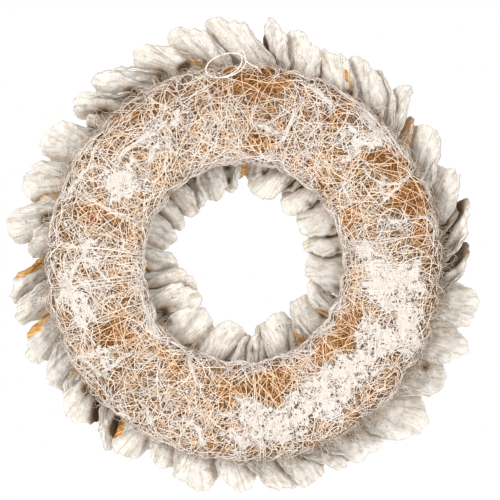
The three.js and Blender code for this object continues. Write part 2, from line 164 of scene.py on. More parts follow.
def add_ramp(tree, factor, stops):
    ramp = add_node(tree, "ShaderNodeValToRGB", {"Fac": factor})
    elements = ramp.color_ramp.elements
    while len(elements) < len(stops):
        elements.new(0.5)
    for element, (position, colour) in zip(elements, stops):
        element.position = position
        element.color = (*colour, 1)
    return ramp.outputs["Color"]


def grey(value):
    return (value, value, value)


def add_mix(tree, factor, one, other, blend="MIX"):
    node = tree.nodes.new("ShaderNodeMix")
    node.data_type = "RGBA"
    node.blend_type = blend
    for socket, value in ((node.inputs[0], factor), (node.inputs[6], one), (node.inputs[7], other)):
        if isinstance(value, bpy.types.NodeSocket):
            tree.links.new(value, socket)
        elif socket == node.inputs[0]:
            socket.default_value = value
        else:
            socket.default_value = (*value, 1)
    return node.outputs[2]


def add_math(tree, operation, one, other, third=0.0):
    node = tree.nodes.new("ShaderNodeMath")
    node.operation = operation
    for socket, value in zip(node.inputs, (one, other, third)):
        if isinstance(value, bpy.types.NodeSocket):
            tree.links.new(value, socket)
        else:
            socket.default_value = value
    return node.outputs[0]


def add_sum(tree, *terms):
    total = 0.0
    for value, share in terms:
        total = add_math(tree, "MULTIPLY_ADD", value, share, total)
    return total


def add_noise(tree, vector, scale, detail):
    node = add_node(tree, "ShaderNodeTexNoise", {"Vector": vector, "Scale": scale, "Detail": detail})
    return node.outputs["Fac"]


def add_range(tree, value, low, high):
    node = add_node(tree, "ShaderNodeMapRange", {"Value": value, "From Min": low, "From Max": high})
    return node.outputs["Result"]


def read_value(tree, name):
    return add_node(tree, "ShaderNodeAttribute", attribute_name=name).outputs["Fac"]


def object_place(tree):
    return add_node(tree, "ShaderNodeTexCoord").outputs["Object"]


def start_material(name, roughness):
    material = bpy.data.materials.new(name)
    material.use_nodes = True
    tree = material.node_tree
    shader = tree.nodes["Principled BSDF"]
    shader.inputs["Roughness"].default_value = roughness
    shader.inputs["Specular IOR Level"].default_value = 0.25
    return material, tree, shader


def finish_material(tree, shader, colour, height, distance):
    tree.links.new(colour, shader.inputs["Base Color"])
    bump = add_node(tree, "ShaderNodeBump", {"Height": height, "Distance": distance, "Strength": 1.0})
    tree.links.new(bump.outputs["Normal"], shader.inputs["Normal"])


# %% [markdown]
# Whitewash never covers evenly. It stays on raised places and misses hollows, in patches of
# about a centimetre with frayed edges. The fibres, the threads and the mat under them all
# need it, so it is a node group: it takes an amount and puts out a mask that is 1 where there
# is paint.

# %% Whitewash group
def make_whitewash_group():
    group = bpy.data.node_groups.new("Whitewash", "ShaderNodeTree")
    group.interface.new_socket("Vector", in_out="INPUT", socket_type="NodeSocketVector")
    group.interface.new_socket("Amount", in_out="INPUT", socket_type="NodeSocketFloat")
    group.interface.new_socket("Mask", in_out="OUTPUT", socket_type="NodeSocketFloat")
    entry = group.nodes.new("NodeGroupInput").outputs
    exit_node = group.nodes.new("NodeGroupOutput")
    broad = add_noise(group, entry["Vector"], 90.0, 3.0)
    fine = add_noise(group, entry["Vector"], 620.0, 2.0)
    both = add_math(group, "ADD", broad, add_math(group, "MULTIPLY", fine, 0.7))
    over = add_math(group, "ADD", both, entry["Amount"])
    group.links.new(add_range(group, over, 1.28, 1.42), exit_node.inputs["Mask"])
    return group


def whitewash_mask(tree, vector, amount):
    inputs = {"Vector": vector, "Amount": amount}
    return add_node(tree, "ShaderNodeGroup", inputs, node_tree=whitewash).outputs["Mask"]


whitewash = make_whitewash_group()
print("group", whitewash.name, len(whitewash.nodes), "nodes")

# %% [markdown]
# The fibre is coir: orange-brown to straw. Each kind of strand gets its own depth of colour
# and its own share of whitewash; the kinds that lie deeper are darker, partly from the coir's
# own colour and partly as painted shade. The strands also carry the attribute paint, which is
# high in the patches that were brushed thickly and below zero where the fibre stayed bare.

# %% Fibre materials
LIMEWASH = (0.79, 0.703, 0.632)
# bright coat for the rim strands: whitewash, made brighter as painted light for the steep flanks
LIMEWASH_AND_RIM_LIGHT = (0.97, 0.90, 0.83)
WARM_PLASTER = (0.70, 0.60, 0.50)
CREAM = (0.89, 0.742, 0.585)
PEACH = (0.92, 0.66, 0.44)
STRAW = (0.68, 0.45, 0.262)
COIR = (0.58, 0.265, 0.072)
OLD_COIR = (0.38, 0.155, 0.04)
DARK_COIR = (0.33, 0.19, 0.10)
PALE_COIR = (0.58, 0.38, 0.23)
ROOT_PALE = (0.50, 0.40, 0.30)
ROOT_DARK = (0.19, 0.13, 0.085)
PIT_SHADE = (0.075, 0.036, 0.017)


def painted_value(tree, share):
    return add_math(tree, "MULTIPLY", read_value(tree, "paint"), share)


def make_strand_material(name, limed, brushed, light, dark, coat=LIMEWASH):
    material, tree, shader = start_material(name, 0.85)
    place = object_place(tree)
    mottling = add_noise(tree, place, 560.0, 3.0)
    tone = add_math(tree, "ADD", mottling, painted_value(tree, 0.08))
    fibre = add_ramp(tree, tone, [(0.36, dark), (0.61, light)])
    mask = whitewash_mask(tree, place, add_math(tree, "ADD", painted_value(tree, brushed), limed))
    finish_material(tree, shader, add_mix(tree, mask, fibre, coat), mottling, 0.0002)
    return material


# the deeper kinds get darker colours, partly painted shade
coir_strand = make_strand_material("coir_strand", 0.19, 0.15, STRAW, COIR)
cream_strand = make_strand_material("cream_strand", 0.40, 0.30, CREAM, PEACH)
limed_strand = make_strand_material("limed_strand", 0.75, 0.45, CREAM, PEACH)
# rim strands: painted light on the steep flanks, on top of their whitewash
rim_strand = make_strand_material("rim_strand", 0.85, 0.45, CREAM, PEACH, LIMEWASH_AND_RIM_LIGHT)
root_fibre = make_strand_material("root_fibre", 0.12, 0.12, ROOT_PALE, ROOT_DARK)
print("strand materials", coir_strand.name, cream_strand.name, limed_strand.name)

# %% [markdown]
# Under the loose strands lies the mat of pressed fibre: a net of short fibres with dark pits
# between them. A Voronoi texture measured to the edges of its cells draws such a net, and a
# noise bends the place first, so that no edge stays straight. A coarse and a fine net are
# laid over each other. The piece carries an attribute named paint, for the listed places with
# whitewash.

# %% Fibre mat material
def bend_place(tree, place, size, amount):
    waver = add_node(tree, "ShaderNodeTexNoise", {"Vector": place, "Scale": 1 / size, "Detail": 1.0})
    centred = add_node(tree, "ShaderNodeVectorMath", {0: waver.outputs["Color"]}, operation="SUBTRACT")
    centred.inputs[1].default_value = grey(0.5)
    shift = {0: centred.outputs[0], "Scale": amount}
    scaled = add_node(tree, "ShaderNodeVectorMath", shift, operation="SCALE")
    moved = add_node(tree, "ShaderNodeVectorMath", {0: place, 1: scaled.outputs[0]}, operation="ADD")
    return moved.outputs[0]


def net_lines(tree, place, cell, thickness):
    cells = {"Vector": place, "Scale": 1 / cell}
    edges = add_node(tree, "ShaderNodeTexVoronoi", cells, feature="DISTANCE_TO_EDGE")
    return add_range(tree, edges.outputs["Distance"], thickness, 0.0)


def make_mat_material():
    material, tree, shader = start_material("fibre_mat", 0.95)
    place = object_place(tree)
    bent = bend_place(tree, place, 0.0018, 0.0026)
    coarse = net_lines(tree, bent, 0.0027, 0.20)
    fine = net_lines(tree, bent, 0.0017, 0.24)
    top = add_math(tree, "MAXIMUM", coarse, add_math(tree, "MULTIPLY", fine, 0.62))
    cloud = add_noise(tree, place, 75.0, 3.0)
    tone = add_math(tree, "ADD", cloud, painted_value(tree, 0.2))
    line_colour = add_ramp(tree, tone, [(0.32, OLD_COIR), (0.46, DARK_COIR), (0.68, PALE_COIR)])
    raised = add_ramp(tree, top, [(0.34, grey(0.0)), (0.72, grey(1.0))])
    # painted shade: the pits between the raised fibres of the net are near black
    fibre = add_mix(tree, raised, PIT_SHADE, line_colour)
    amount = add_math(tree, "ADD", add_math(tree, "MULTIPLY", top, 0.45), painted_value(tree, 0.28))
    mask = whitewash_mask(tree, place, add_math(tree, "SUBTRACT", amount, 0.08))
    colour = add_mix(tree, mask, fibre, WARM_PLASTER)
    finish_material(tree, shader, colour, top, 0.0009)
    return material


fibre_mat = make_mat_material()
print("mat material", len(fibre_mat.node_tree.nodes), "nodes")

# %% [markdown]
# The fungi are chalky: dried flesh under thin whitewash, with fine streaks that fan out from
# the root to the margin and small dark pits. The attribute shade carries painted shade: it
# turns the root and the sides under a neighbour brown-grey and the deepest gaps near black.
# The streaks follow three values that each point of a fungus carries: how far it is across the
# fan and along it, in millimetres, and a number of its own. Where the attribute bare is high,
# the whitewash is missing and ochre flesh shows. Where the attribute comb is high, the edge is
# split into teeth.

# %% Fungus material
BRIGHT_CHALK = (0.725, 0.693, 0.646)
CHALK = (0.715, 0.662, 0.588)
BONE = (0.48, 0.405, 0.32)
# painted shade colours: brown-grey for the shaded parts, near black for the deepest gaps
SHADE_BROWN = (0.29, 0.21, 0.14)
DEEP_SHADOW_BROWN = (0.08, 0.052, 0.032)
PLAIN_CHALK = (0.69, 0.632, 0.556)
PIT_BROWN = (0.20, 0.14, 0.09)
TOOTH_BROWN = (0.30, 0.22, 0.14)
RUST = (0.26, 0.11, 0.03)
OCHRE = (0.60, 0.29, 0.06)
PALE_OCHRE = (0.72, 0.43, 0.13)


def fan_noise(tree, fan, across, along, detail):
    scaled = add_node(tree, "ShaderNodeVectorMath", {0: fan}, operation="MULTIPLY")
    scaled.inputs[1].default_value = (1 / across, 1 / along, 1.0)
    return add_noise(tree, scaled.outputs[0], 1.0, detail)


def make_fungus_material():
    material, tree, shader = start_material("chalky_fungus", 0.88)
    place = object_place(tree)
    fan = add_node(tree, "ShaderNodeAttribute", attribute_name="fan").outputs["Vector"]
    bare = read_value(tree, "bare")
    shade = read_value(tree, "shade")
    fine = fan_noise(tree, fan, 1.15, 30.0, 2.0)
    broad = fan_noise(tree, fan, 3.6, 16.0, 3.0)
    lumps = add_noise(tree, place, 210.0, 4.0)
    grain = add_noise(tree, place, 1100.0, 2.0)
    uneven = add_sum(tree, (lumps, 0.5), (grain, 0.5))
    fine_share = add_math(tree, "MULTIPLY", fine, 0.6)
    broad_share = add_math(tree, "MULTIPLY", broad, 0.4)
    streaks = add_math(tree, "ADD", fine_share, broad_share)
    streaked = add_ramp(tree, streaks, [(0.38, BONE), (0.48, CHALK), (0.58, BRIGHT_CHALK)])
    coat = add_noise(tree, place, 42.0, 3.0)
    plain = add_ramp(tree, lumps, [(0.35, PLAIN_CHALK), (0.60, BRIGHT_CHALK)])
    thin = add_ramp(tree, coat, [(0.38, grey(0.35)), (0.60, grey(1.0))])
    chalk = add_mix(tree, thin, plain, streaked)
    cloudy = add_ramp(tree, uneven, [(0.38, grey(0.76)), (0.53, grey(1.0))])
    chalk = add_mix(tree, 1.0, chalk, cloudy, "MULTIPLY")
    # painted shade: the shade attribute, broken by streaks and grain, sets how far the chalk turns
    # brown-grey and near black
    painted_shade = add_math(tree, "SUBTRACT", shade, add_sum(tree, (streaks, 0.3), (lumps, 0.4), (grain, 0.3)))
    colour = add_mix(tree, add_range(tree, painted_shade, -0.42, 0.25), chalk, SHADE_BROWN)
    colour = add_mix(tree, add_range(tree, painted_shade, 0.15, 0.60), colour, DEEP_SHADOW_BROWN)
    specks = add_node(tree, "ShaderNodeTexVoronoi", {"Vector": place, "Scale": 360.0})
    pit = add_ramp(tree, specks.outputs["Distance"], [(0.14, grey(1.0)), (0.30, grey(0.0))])
    clusters = add_noise(tree, place, 75.0, 2.0)
    # the pits gather a little more where the painted shade is deep
    swarm = add_math(tree, "ADD", clusters, add_math(tree, "MULTIPLY", shade, 0.12))
    patch = add_ramp(tree, swarm, [(0.64, grey(0.0)), (0.74, grey(0.9))])
    pitted = add_mix(tree, 1.0, pit, patch, "MULTIPLY")
    colour = add_mix(tree, pitted, colour, PIT_BROWN)
    teeth = add_ramp(tree, fan_noise(tree, fan, 6.0, 1.3, 1.0), [(0.46, grey(1.0)), (0.52, grey(0.0))])
    toothed = add_mix(tree, 1.0, read_value(tree, "comb"), teeth, "MULTIPLY")
    colour = add_mix(tree, toothed, colour, TOOTH_BROWN)
    flesh = add_ramp(tree, streaks, [(0.42, RUST), (0.50, OCHRE), (0.59, PALE_OCHRE)])
    bare_mask = add_math(tree, "ADD", bare, add_math(tree, "MULTIPLY", uneven, 0.8))
    colour = add_mix(tree, add_range(tree, bare_mask, 0.78, 0.95), colour, flesh)
    dips = add_math(tree, "ADD", pitted, toothed)
    raised = add_sum(tree, (streaks, 0.6), (lumps, 0.7), (grain, 0.35))
    finish_material(tree, shader, colour, add_math(tree, "SUBTRACT", raised, dips), 0.0014)
    return material


chalky_fungus = make_fungus_material()
print("fungus material", len(chalky_fungus.node_tree.nodes), "nodes")

# %% [markdown]
# The crust is thick whitewash that bridges the fibres, and the wire was dipped in it too.

# %% Crust and wire materials
OLD_PLASTER = (0.42, 0.355, 0.295)
PLASTER = (0.56, 0.51, 0.462)
PALE_PLASTER = (0.60, 0.556, 0.512)
PINHOLE_SHADE = (0.12, 0.06, 0.03)
WORN_WIRE = (0.42, 0.36, 0.29)
LIMED_WIRE = (0.72, 0.68, 0.62)
PALE_WIRE = (0.80, 0.77, 0.73)


def stretched_noise(tree, place, angle, width, length):
    turned = add_node(tree, "ShaderNodeMapping", {"Vector": place})
    turned.inputs["Rotation"].default_value = (0.35, math.radians(angle), 0.2)
    turned.inputs["Scale"].default_value = (1 / width, 1 / width, 1 / length)
    return add_noise(tree, turned.outputs["Vector"], 1.0, 1.5)


def make_crust_material():
    material, tree, shader = start_material("limewash_crust", 0.9)
    place = object_place(tree)
    strokes = stretched_noise(tree, place, 20, 0.0008, 0.007)
    crossing = stretched_noise(tree, place, 110, 0.0008, 0.007)
    top = add_math(tree, "MAXIMUM", strokes, crossing)
    plaster = add_ramp(tree, top, [(0.40, OLD_PLASTER), (0.52, PLASTER), (0.66, PALE_PLASTER)])
    bent = bend_place(tree, place, 0.003, 0.004)
    cells = add_node(tree, "ShaderNodeTexVoronoi", {"Vector": bent, "Scale": 520.0})
    size = add_math(tree, "MULTIPLY_ADD", add_noise(tree, place, 85.0, 3.0), 1.5, -0.52)
    reach = add_math(tree, "SUBTRACT", cells.outputs["Distance"], size)
    pit = add_range(tree, reach, 0.04, -0.04)
    # dark brown pinholes stand for small holes: partly painted shade, partly the fibre under the crust
    colour = add_mix(tree, pit, plaster, PINHOLE_SHADE)
    finish_material(tree, shader, colour, add_math(tree, "SUBTRACT", top, pit), 0.0008)
    return material


def make_wire_material():
    material, tree, shader = start_material("limed_wire", 0.6)
    lumps = add_noise(tree, object_place(tree), 700.0, 2.0)
    colour = add_ramp(tree, lumps, [(0.34, WORN_WIRE), (0.48, LIMED_WIRE), (0.8, PALE_WIRE)])
    finish_material(tree, shader, colour, lumps, 0.0004)
    return material


limewash_crust = make_crust_material()
limed_wire = make_wire_material()
print("materials so far", len(bpy.data.materials))

# %% [markdown]
# ## The fibre ring
# The ring has a flattened round section with a broad flat back. Threads wound round it pull
# it in at seventeen places. The same few formulas as in the CAD source give its surface, so
# that strands can be laid on it at any height.

# %% Surface of the ring
RING_OUTER = 166
RING_INNER = 85
RING_HALF_DEPTH = 24.5
RING_ROUNDNESS = 2.5
BACK_PLANE = -22
RING_MID = (RING_OUTER + RING_INNER) / 2
RING_HALF_WIDTH = (RING_OUTER - RING_INNER) / 2
THREAD_ANGLES = np.array([7, 27, 38, 71, 98, 122, 137, 159, 176, 188, 202, 214, 237, 273, 286, 327, 355])
THREAD_PINCH = 1.7
THREAD_SPREAD = 1.6
HOLE_BULGE = 3.5
HOLE_BULGE_ANGLE = 222
HOLE_BULGE_SPREAD = 16


def angle_between(a, b):
    return np.abs((a - b + 540) % 360 - 180)


def thread_pinch(deg):
    nearest = np.min(angle_between(np.asarray(deg)[..., None], THREAD_ANGLES), axis=-1)
    return THREAD_PINCH * np.exp(-((nearest / THREAD_SPREAD) ** 2))


def winding_relief(deg, section):
    around = np.radians(deg)
    steep = np.sin(23 * around + 2 * section)
    shallow = np.sin(17 * around - 3 * section + 1)
    return 0.55 * (steep + shallow) * (1 - smoothstep(np.sin(section), 0.1, 0.6))


def ring_point(deg, section, grow):
    swell = winding_relief(deg, section) - thread_pinch(deg) + grow
    across = signed_power(np.cos(section), 2 / RING_ROUNDNESS)
    deep = signed_power(np.sin(section), 2 / RING_ROUNDNESS)
    bulge = HOLE_BULGE * np.exp(-((angle_between(deg, HOLE_BULGE_ANGLE) / HOLE_BULGE_SPREAD) ** 2))
    inward = np.where(across < 0, -across * bulge, 0)
    radius = RING_MID + across * (RING_HALF_WIDTH + swell) + inward
    depth = np.maximum(deep * (RING_HALF_DEPTH + swell), BACK_PLANE - grow)
    return around_axis(radius, depth, deg)


# %% [markdown]
# The whitewash was dabbed on by hand, so its places are a list: the angle and the radius of
# the middle of each patch, how far it reaches either way, and how thick the paint lies.
# A negative amount keeps a place bare, so that orange fibre shows. Some strokes of the brush
# are long and narrow, so they are listed by their corners. Waves of two lengths bend the place
# first, because no brush leaves a neat oval.

# %% Where the whitewash lies
PATCHES = [
    # angle, radius, reach in degrees, reach in millimetres, amount
    (48, 148, 7, 14, 1.25), (8, 104, 8, 8, 0.8), (28, 142, 2.5, 16, 0.8), (15, 127, 3, 9, 0.7),
    (147, 121, 9, 17, 1.05), (125, 135, 6, 6, 0.8), (114, 131, 5, 5, 0.7), (127, 118, 4, 6, 0.7),
    (191, 146, 9, 8, 0.9), (198, 140, 6, 6, 0.8), (279, 138, 12, 21, 1.05), (300, 130, 13, 20, 1.0),
    (322, 128, 14, 21, 1.0), (338, 146, 9, 16, 1.15), (353, 125, 9, 24, 1.05), (262, 148, 6, 8, 0.5),
    (215, 138, 3, 16, 0.8), (176, 130, 3, 14, 0.6), (22, 150, 13, 11, -1.4), (38, 147, 5, 12, -1.2),
    (54, 149, 5, 11, -1.2), (56, 116, 4, 10, -0.7), (21, 91, 7, 6, -1.3), (44, 94, 6, 7, -0.9),
    (82, 104, 5, 9, -1.2), (87, 156, 9, 12, -1.6), (30, 119, 5, 7, -0.6), (97, 143, 4, 10, -1.0),
    (128, 96, 3, 4, -0.7), (161, 134, 4, 15, -1.1), (192, 100, 3, 6, -0.6), (208, 125, 8, 13, -1.1),
    (233, 101, 8, 8, -1.0), (275, 105, 18, 12, -1.2), (323, 101, 17, 12, -1.1), (324, 139, 2, 4, -1.0),
    (352, 90, 4, 5, -0.7), (180, 138, 32, 30, 0.3), (238, 138, 22, 26, 0.22), (108, 128, 26, 28, 0.25),
    (62, 128, 18, 26, 0.3), (0, 118, 24, 30, 0.3),
]
# the bands add whitewash to the strands on both flanks: real whitewash, and also painted light for flanks
# that the lamps light less
INNER_BAND = (87, 94, 0.9)
OUTER_BAND = (156, 164, 0.45)
SMEARS = [
    # width, amount, then corners of the stroke: millimetres to the right and up
    (3.2, 1.0, (-133, 9), (-142, -4), (-146, -17), (-144, -31), (-138, -46)),
    (2.8, 1.0, (-125, -1), (-120, -10), (-110, -17)), (3.0, 0.8, (-154, -6), (-150, -18)),
    (4.5, 0.8, (-135, -33), (-129, -42), (-124, -48)), (2.6, 0.9, (-145, -79), (-125, -76), (-98, -66)),
    (3.6, 0.9, (-138, -78), (-129, -87), (-120, -95)), (2.4, 0.9, (-122, -94), (-108, -84), (-93, -74)),
    (4.0, 0.9, (-75, 118), (-84, 105), (-100, 94), (-110, 82)),
    (4.2, 0.9, (-151, 53), (-143, 66), (-133, 78), (-125, 82)),
    (2.0, 0.9, (-140, 69), (-125, 52), (-108, 42), (-90, 35)),
    (6.5, 0.9, (-82, -38), (-77, -55), (-71, -64)),
    (3.0, 0.9, (-47, -76), (-45, -86), (-40, -101), (-34, -105)),
    (2.8, 0.8, (-88, -114), (-80, -125), (-79, -131)), (3.0, 0.8, (-106, -114), (-97, -131)),
    (5.0, 0.8, (-51, -131), (-39, -139), (-34, -152)), (4.5, 0.7, (-24, -126), (-10, -127)),
    (5.0, 0.8, (-8, -112), (0, -116)), (5.0, 0.8, (-11, -139), (0, -152)),
    (4.0, 0.8, (14, 115), (28, 110)), (2.2, 0.9, (44, 129), (38, 115), (32, 98)),
    (5.0, 0.9, (61, 146), (73, 133)), (4.6, 0.9, (107, 116), (118, 107), (127, 92), (130, 86)),
    (4.0, 0.9, (92, 102), (97, 95), (84, 85)),
    (2.4, 1.0, (100, 81), (107, 70), (118, 66), (129, 66), (137, 71), (143, 78)),
    (4.0, 1.0, (118, 53), (124, 60), (132, 66)), (3.2, 0.9, (82, 66), (88, 55), (90, 51)),
    (2.0, 0.9, (67, 51), (80, 60), (88, 65)), (2.0, 1.0, (132, 47), (137, 37), (152, 38), (158, 47)),
]


def stroke_distance(spot, corners):
    nearest = np.full(spot.shape[:-1], 999.0)
    for start, end in zip(corners[:-1], corners[1:]):
        run = np.subtract(end, start)
        share = np.clip((spot - start) @ run / (run @ run), 0, 1)
        nearest = np.minimum(nearest, np.linalg.norm(spot - start - share[..., None] * run, axis=-1))
    return nearest


def paint_at(deg, radius, band=1.0):
    x = radius * np.cos(np.radians(deg))
    z = radius * np.sin(np.radians(deg))
    bent = radius + 4.5 * np.sin(x / 8 + 1.5 * np.sin(z / 11)) + 2.5 * np.sin(z / 3.7 + x / 5.1)
    deg = deg + 2.2 * np.sin(z / 7 + 1.5 * np.sin(x / 9)) + 1.2 * np.sin(x / 3.9 - z / 4.7)
    total = np.zeros(np.shape(bent))
    for angle, middle, half_turn, half_width, amount in PATCHES:
        away = (angle_between(deg, angle) / half_turn) ** 2 + ((bent - middle) / half_width) ** 2
        total = total + amount * (1 - smoothstep(away, 0.3, 1.6))
    spot = np.stack((x, z), axis=-1)
    for width, amount, *corners in SMEARS:
        total = total + amount * (1 - smoothstep(stroke_distance(spot, corners) / width, 0.2, 0.8))
    low, high, amount = INNER_BAND
    total = total + band * amount * (1 - smoothstep(radius, low, high))
    low, high, amount = OUTER_BAND
    return total + band * amount * smoothstep(radius, low, high)


print("paint at the large patch and at the bare one", paint_at(279, 138), paint_at(275, 105))

# %% [markdown]
# The mat is a circle spun round the wreath's axis, then drawn onto the ring's surface. Noise
# of two sizes gives it the lumps of pressed fibre. It replaces the CAD solid of the ring.

# %% Fibre mat
MAT_SECTION_STEPS = 60
MAT_TURN_STEPS = 400


def make_mat():
    bm = bmesh.new()
    circle = bmesh.ops.create_circle(bm, segments=MAT_SECTION_STEPS, radius=20)
    bmesh.ops.translate(bm, verts=circle["verts"], vec=(RING_MID, 0, 0))
    bmesh.ops.spin(bm, geom=bm.edges[:] + bm.verts[:], cent=(0, 0, 0), axis=(0, 1, 0), dvec=(0, 0, 0),
                   angle=2 * math.pi, steps=MAT_TURN_STEPS, use_merge=True)
    bmesh.ops.remove_doubles(bm, verts=bm.verts, dist=1e-4)
    return mesh_from(bm, "fibre_mat")


def read_points(mesh):
    flat = np.empty(len(mesh.vertices) * 3)
    mesh.vertices.foreach_get("co", flat)
    return flat.reshape(-1, 3)


def read_millimetres(mesh):
    return read_points(mesh) / MM - CENTRE


def write_points(mesh, points):
    mesh.vertices.foreach_set("co", np.ascontiguousarray(points).ravel())
    mesh.update()


def noise_at(points, size, seed):
    shift = Vector((seed * 7.3, seed * 3.1, seed * 5.7))
    return np.array([noise.noise(Vector(point) / size + shift) for point in points])


def write_value(mesh, name, values):
    attribute = mesh.attributes.new(name, "FLOAT", "POINT")
    attribute.data.foreach_set("value", values.astype(np.float32))


def write_paint(mesh, band=1.0):
    points = read_millimetres(mesh)
    deg = np.degrees(np.arctan2(points[:, 2], points[:, 0]))
    write_value(mesh, "paint", paint_at(deg, np.hypot(points[:, 0], points[:, 2]), band))


def face_outwards(mesh):
    bm = bmesh.new()
    bm.from_mesh(mesh)
    bmesh.ops.recalc_face_normals(bm, faces=bm.faces)
    for face in bm.faces:
        face.smooth = True
    bm.to_mesh(mesh)
    bm.free()


mat_mesh = make_mat()
spun = read_points(mat_mesh)
mat_deg = np.degrees(np.arctan2(spun[:, 2], spun[:, 0]))
mat_section = np.arctan2(spun[:, 1], np.hypot(spun[:, 0], spun[:, 2]) - RING_MID)
mat_lumps = 1.0 * noise_at(spun, 9.0, 1) + 0.6 * noise_at(spun, 3.2, 2)
mat_lumps *= 0.3 + 0.7 * np.abs(np.sin(mat_section))
write_points(mat_mesh, to_place(ring_point(mat_deg, mat_section, mat_lumps - 1.2)))
write_paint(mat_mesh, 0.0)
face_outwards(mat_mesh)
add_piece("fibre_mat", mat_mesh, fibre_mat, ["base_ring"])
print("mat triangles", triangle_count(mat_mesh))

# %% [markdown]
# ## Loose strands
# Thousands of thin strands lie criss-cross on the mat. Each one walks over the surface in
# small steps, and its heading turns a little at every step. To walk evenly, it needs the
# length of the ring's section, so that length is measured once, at an angle where no thread
# pulls the ring in.

# %% Walking over the surface
SECTION_SAMPLES = 2001
ANGLE_BETWEEN_THREADS = 17.0

section_angles = np.linspace(-math.pi, math.pi, SECTION_SAMPLES)
profile_deg = np.full(SECTION_SAMPLES, ANGLE_BETWEEN_THREADS)
profile = ring_point(profile_deg, section_angles, np.zeros(SECTION_SAMPLES))
profile_radius = np.hypot(profile[:, 0], profile[:, 2])
steps_along = np.hypot(np.diff(profile_radius), np.diff(profile[:, 1]))
section_length = np.concatenate(([0], np.cumsum(steps_along)))
GIRTH = section_length[-1]


def length_at_section(section):
    return np.interp(section, section_angles, section_length)


def walk_strands(rng, count, steps, step, arcs, bend, height, lift, headings=None):
    deg = rng.uniform(0, 360, count)
    arc = rng.uniform(arcs[0], arcs[1], count)
    heading = rng.uniform(0, 2 * math.pi, count) if headings is None else headings(rng, count)
    turn = rng.normal(0, bend, count)
    phase = rng.uniform(0, 2 * math.pi, count)
    pace = rng.uniform(0.25, 0.8, count)
    base = rng.uniform(height[0], height[1], count)
    paths = np.empty((count, steps, 3))
    for k in range(steps):
        section = np.interp(arc % GIRTH, section_length, section_angles)
        rise = base + lift * np.sin(pace * k + phase)
        paths[:, k] = ring_point(deg, section, rise)
        radius = np.hypot(paths[:, k, 0], paths[:, k, 2])
        deg = deg + np.degrees(step * np.cos(heading) / radius)
        arc = arc + step * np.sin(heading)
        heading = heading + turn
        turn = 0.8 * turn + rng.normal(0, bend * 0.6, count)
    return paths


print("girth of the ring", round(GIRTH, 1), "mm")

# %% [markdown]
# Strands become curves, and a small closed profile swept along them turns them into thin
# tubes. Three sides are enough at half a millimetre. The curves are turned into a mesh at
# once, and each mesh stays below 200,000 triangles.

# %% From paths to tubes
def make_profile(sides):
    profile = bpy.data.curves.new("strand_profile", "CURVE")
    profile.dimensions = "2D"
    outline = profile.splines.new("POLY")
    outline.points.add(sides - 1)
    for k, point in enumerate(outline.points):
        turn = 2 * math.pi * k / sides
        point.co = (MM * math.cos(turn), MM * math.sin(turn), 0, 1)
    outline.use_cyclic_u = True
    return bpy.data.objects.new("strand_profile", profile)


def strands_to_mesh(name, paths, radii, sides=3):
    holder_profile = make_profile(sides)
    curve = bpy.data.curves.new(name, "CURVE")
    curve.dimensions = "3D"
    curve.bevel_mode = "OBJECT"
    curve.bevel_object = holder_profile
    curve.use_fill_caps = True
    for path, radius in zip(paths, radii):
        spline = curve.splines.new("POLY")
        spline.points.add(len(path) - 1)
        corners = np.hstack((to_place(np.asarray(path)), np.ones((len(path), 1))))
        spline.points.foreach_set("co", corners.ravel())
        spline.points.foreach_set("radius", np.broadcast_to(radius, len(path)))
    holder = bpy.data.objects.new(name, curve)
    bpy.context.collection.objects.link(holder)
    bpy.context.view_layer.update()
    evaluated = holder.evaluated_get(bpy.context.evaluated_depsgraph_get())
    mesh = bpy.data.meshes.new_from_object(evaluated)
    bpy.data.objects.remove(holder)
    bpy.data.objects.remove(holder_profile)
    for polygon in mesh.polygons:
        polygon.use_smooth = True
    return mesh


def lay_strands(rng, name, paths, thin, thick, material):
    mesh = strands_to_mesh(name, paths, rng.uniform(thin, thick, len(paths)))
    write_paint(mesh)
    add_piece(name, mesh, material)
    print(name, len(paths), "strands", triangle_count(mesh), "triangles")


BACK_ARCS = (length_at_section(-math.pi * 0.98), length_at_section(0.55))
ALL_ARCS = (0, GIRTH)

# %% [markdown]
# Three layers give the depth: orange coir below, cream strands in the middle, and stiff limed
# strands on top. The limed ones are left out where a place stays bare. On the steep flanks,
# which are seen aslant, fewer strands are kept, so that they don't close up to felt.

# %% Coir strands
INNER_FLANK = (86, 94)
OUTER_FLANK = (157, 165)


def keep_painted(rng, paths, bias, share=0.5):
    middle = paths[:, paths.shape[1] // 2]
    deg = np.degrees(np.arctan2(middle[:, 2], middle[:, 0]))
    radius = np.hypot(middle[:, 0], middle[:, 2])
    steep = 1 - smoothstep(radius, *INNER_FLANK) + smoothstep(radius, *OUTER_FLANK)
    chance = (bias + share * paint_at(deg, radius, 0.0)) * (1 - 0.75 * steep)
    return paths[rng.uniform(0, 1, len(paths)) < chance]


rng = np.random.default_rng(11)
coir_paths = walk_strands(rng, 5900, 7, 2.6, BACK_ARCS, 0.18, (-0.9, 0.5), 0.6)
coir_paths = keep_painted(rng, coir_paths, 0.44, -0.55)
lay_strands(rng, "coir_strands", coir_paths, 0.16, 0.29, coir_strand)
front_paths = walk_strands(rng, 480, 9, 4.2, ALL_ARCS, 0.22, (-0.8, 0.4), 0.4)
lay_strands(rng, "coir_strands_front", front_paths, 0.22, 0.36, coir_strand)

# %% Cream strands
cream_paths = keep_painted(rng, walk_strands(rng, 6000, 7, 2.6, BACK_ARCS, 0.18, (-0.3, 0.8), 0.6), 0.58)
lay_strands(rng, "cream_strands", cream_paths, 0.18, 0.32, cream_strand)

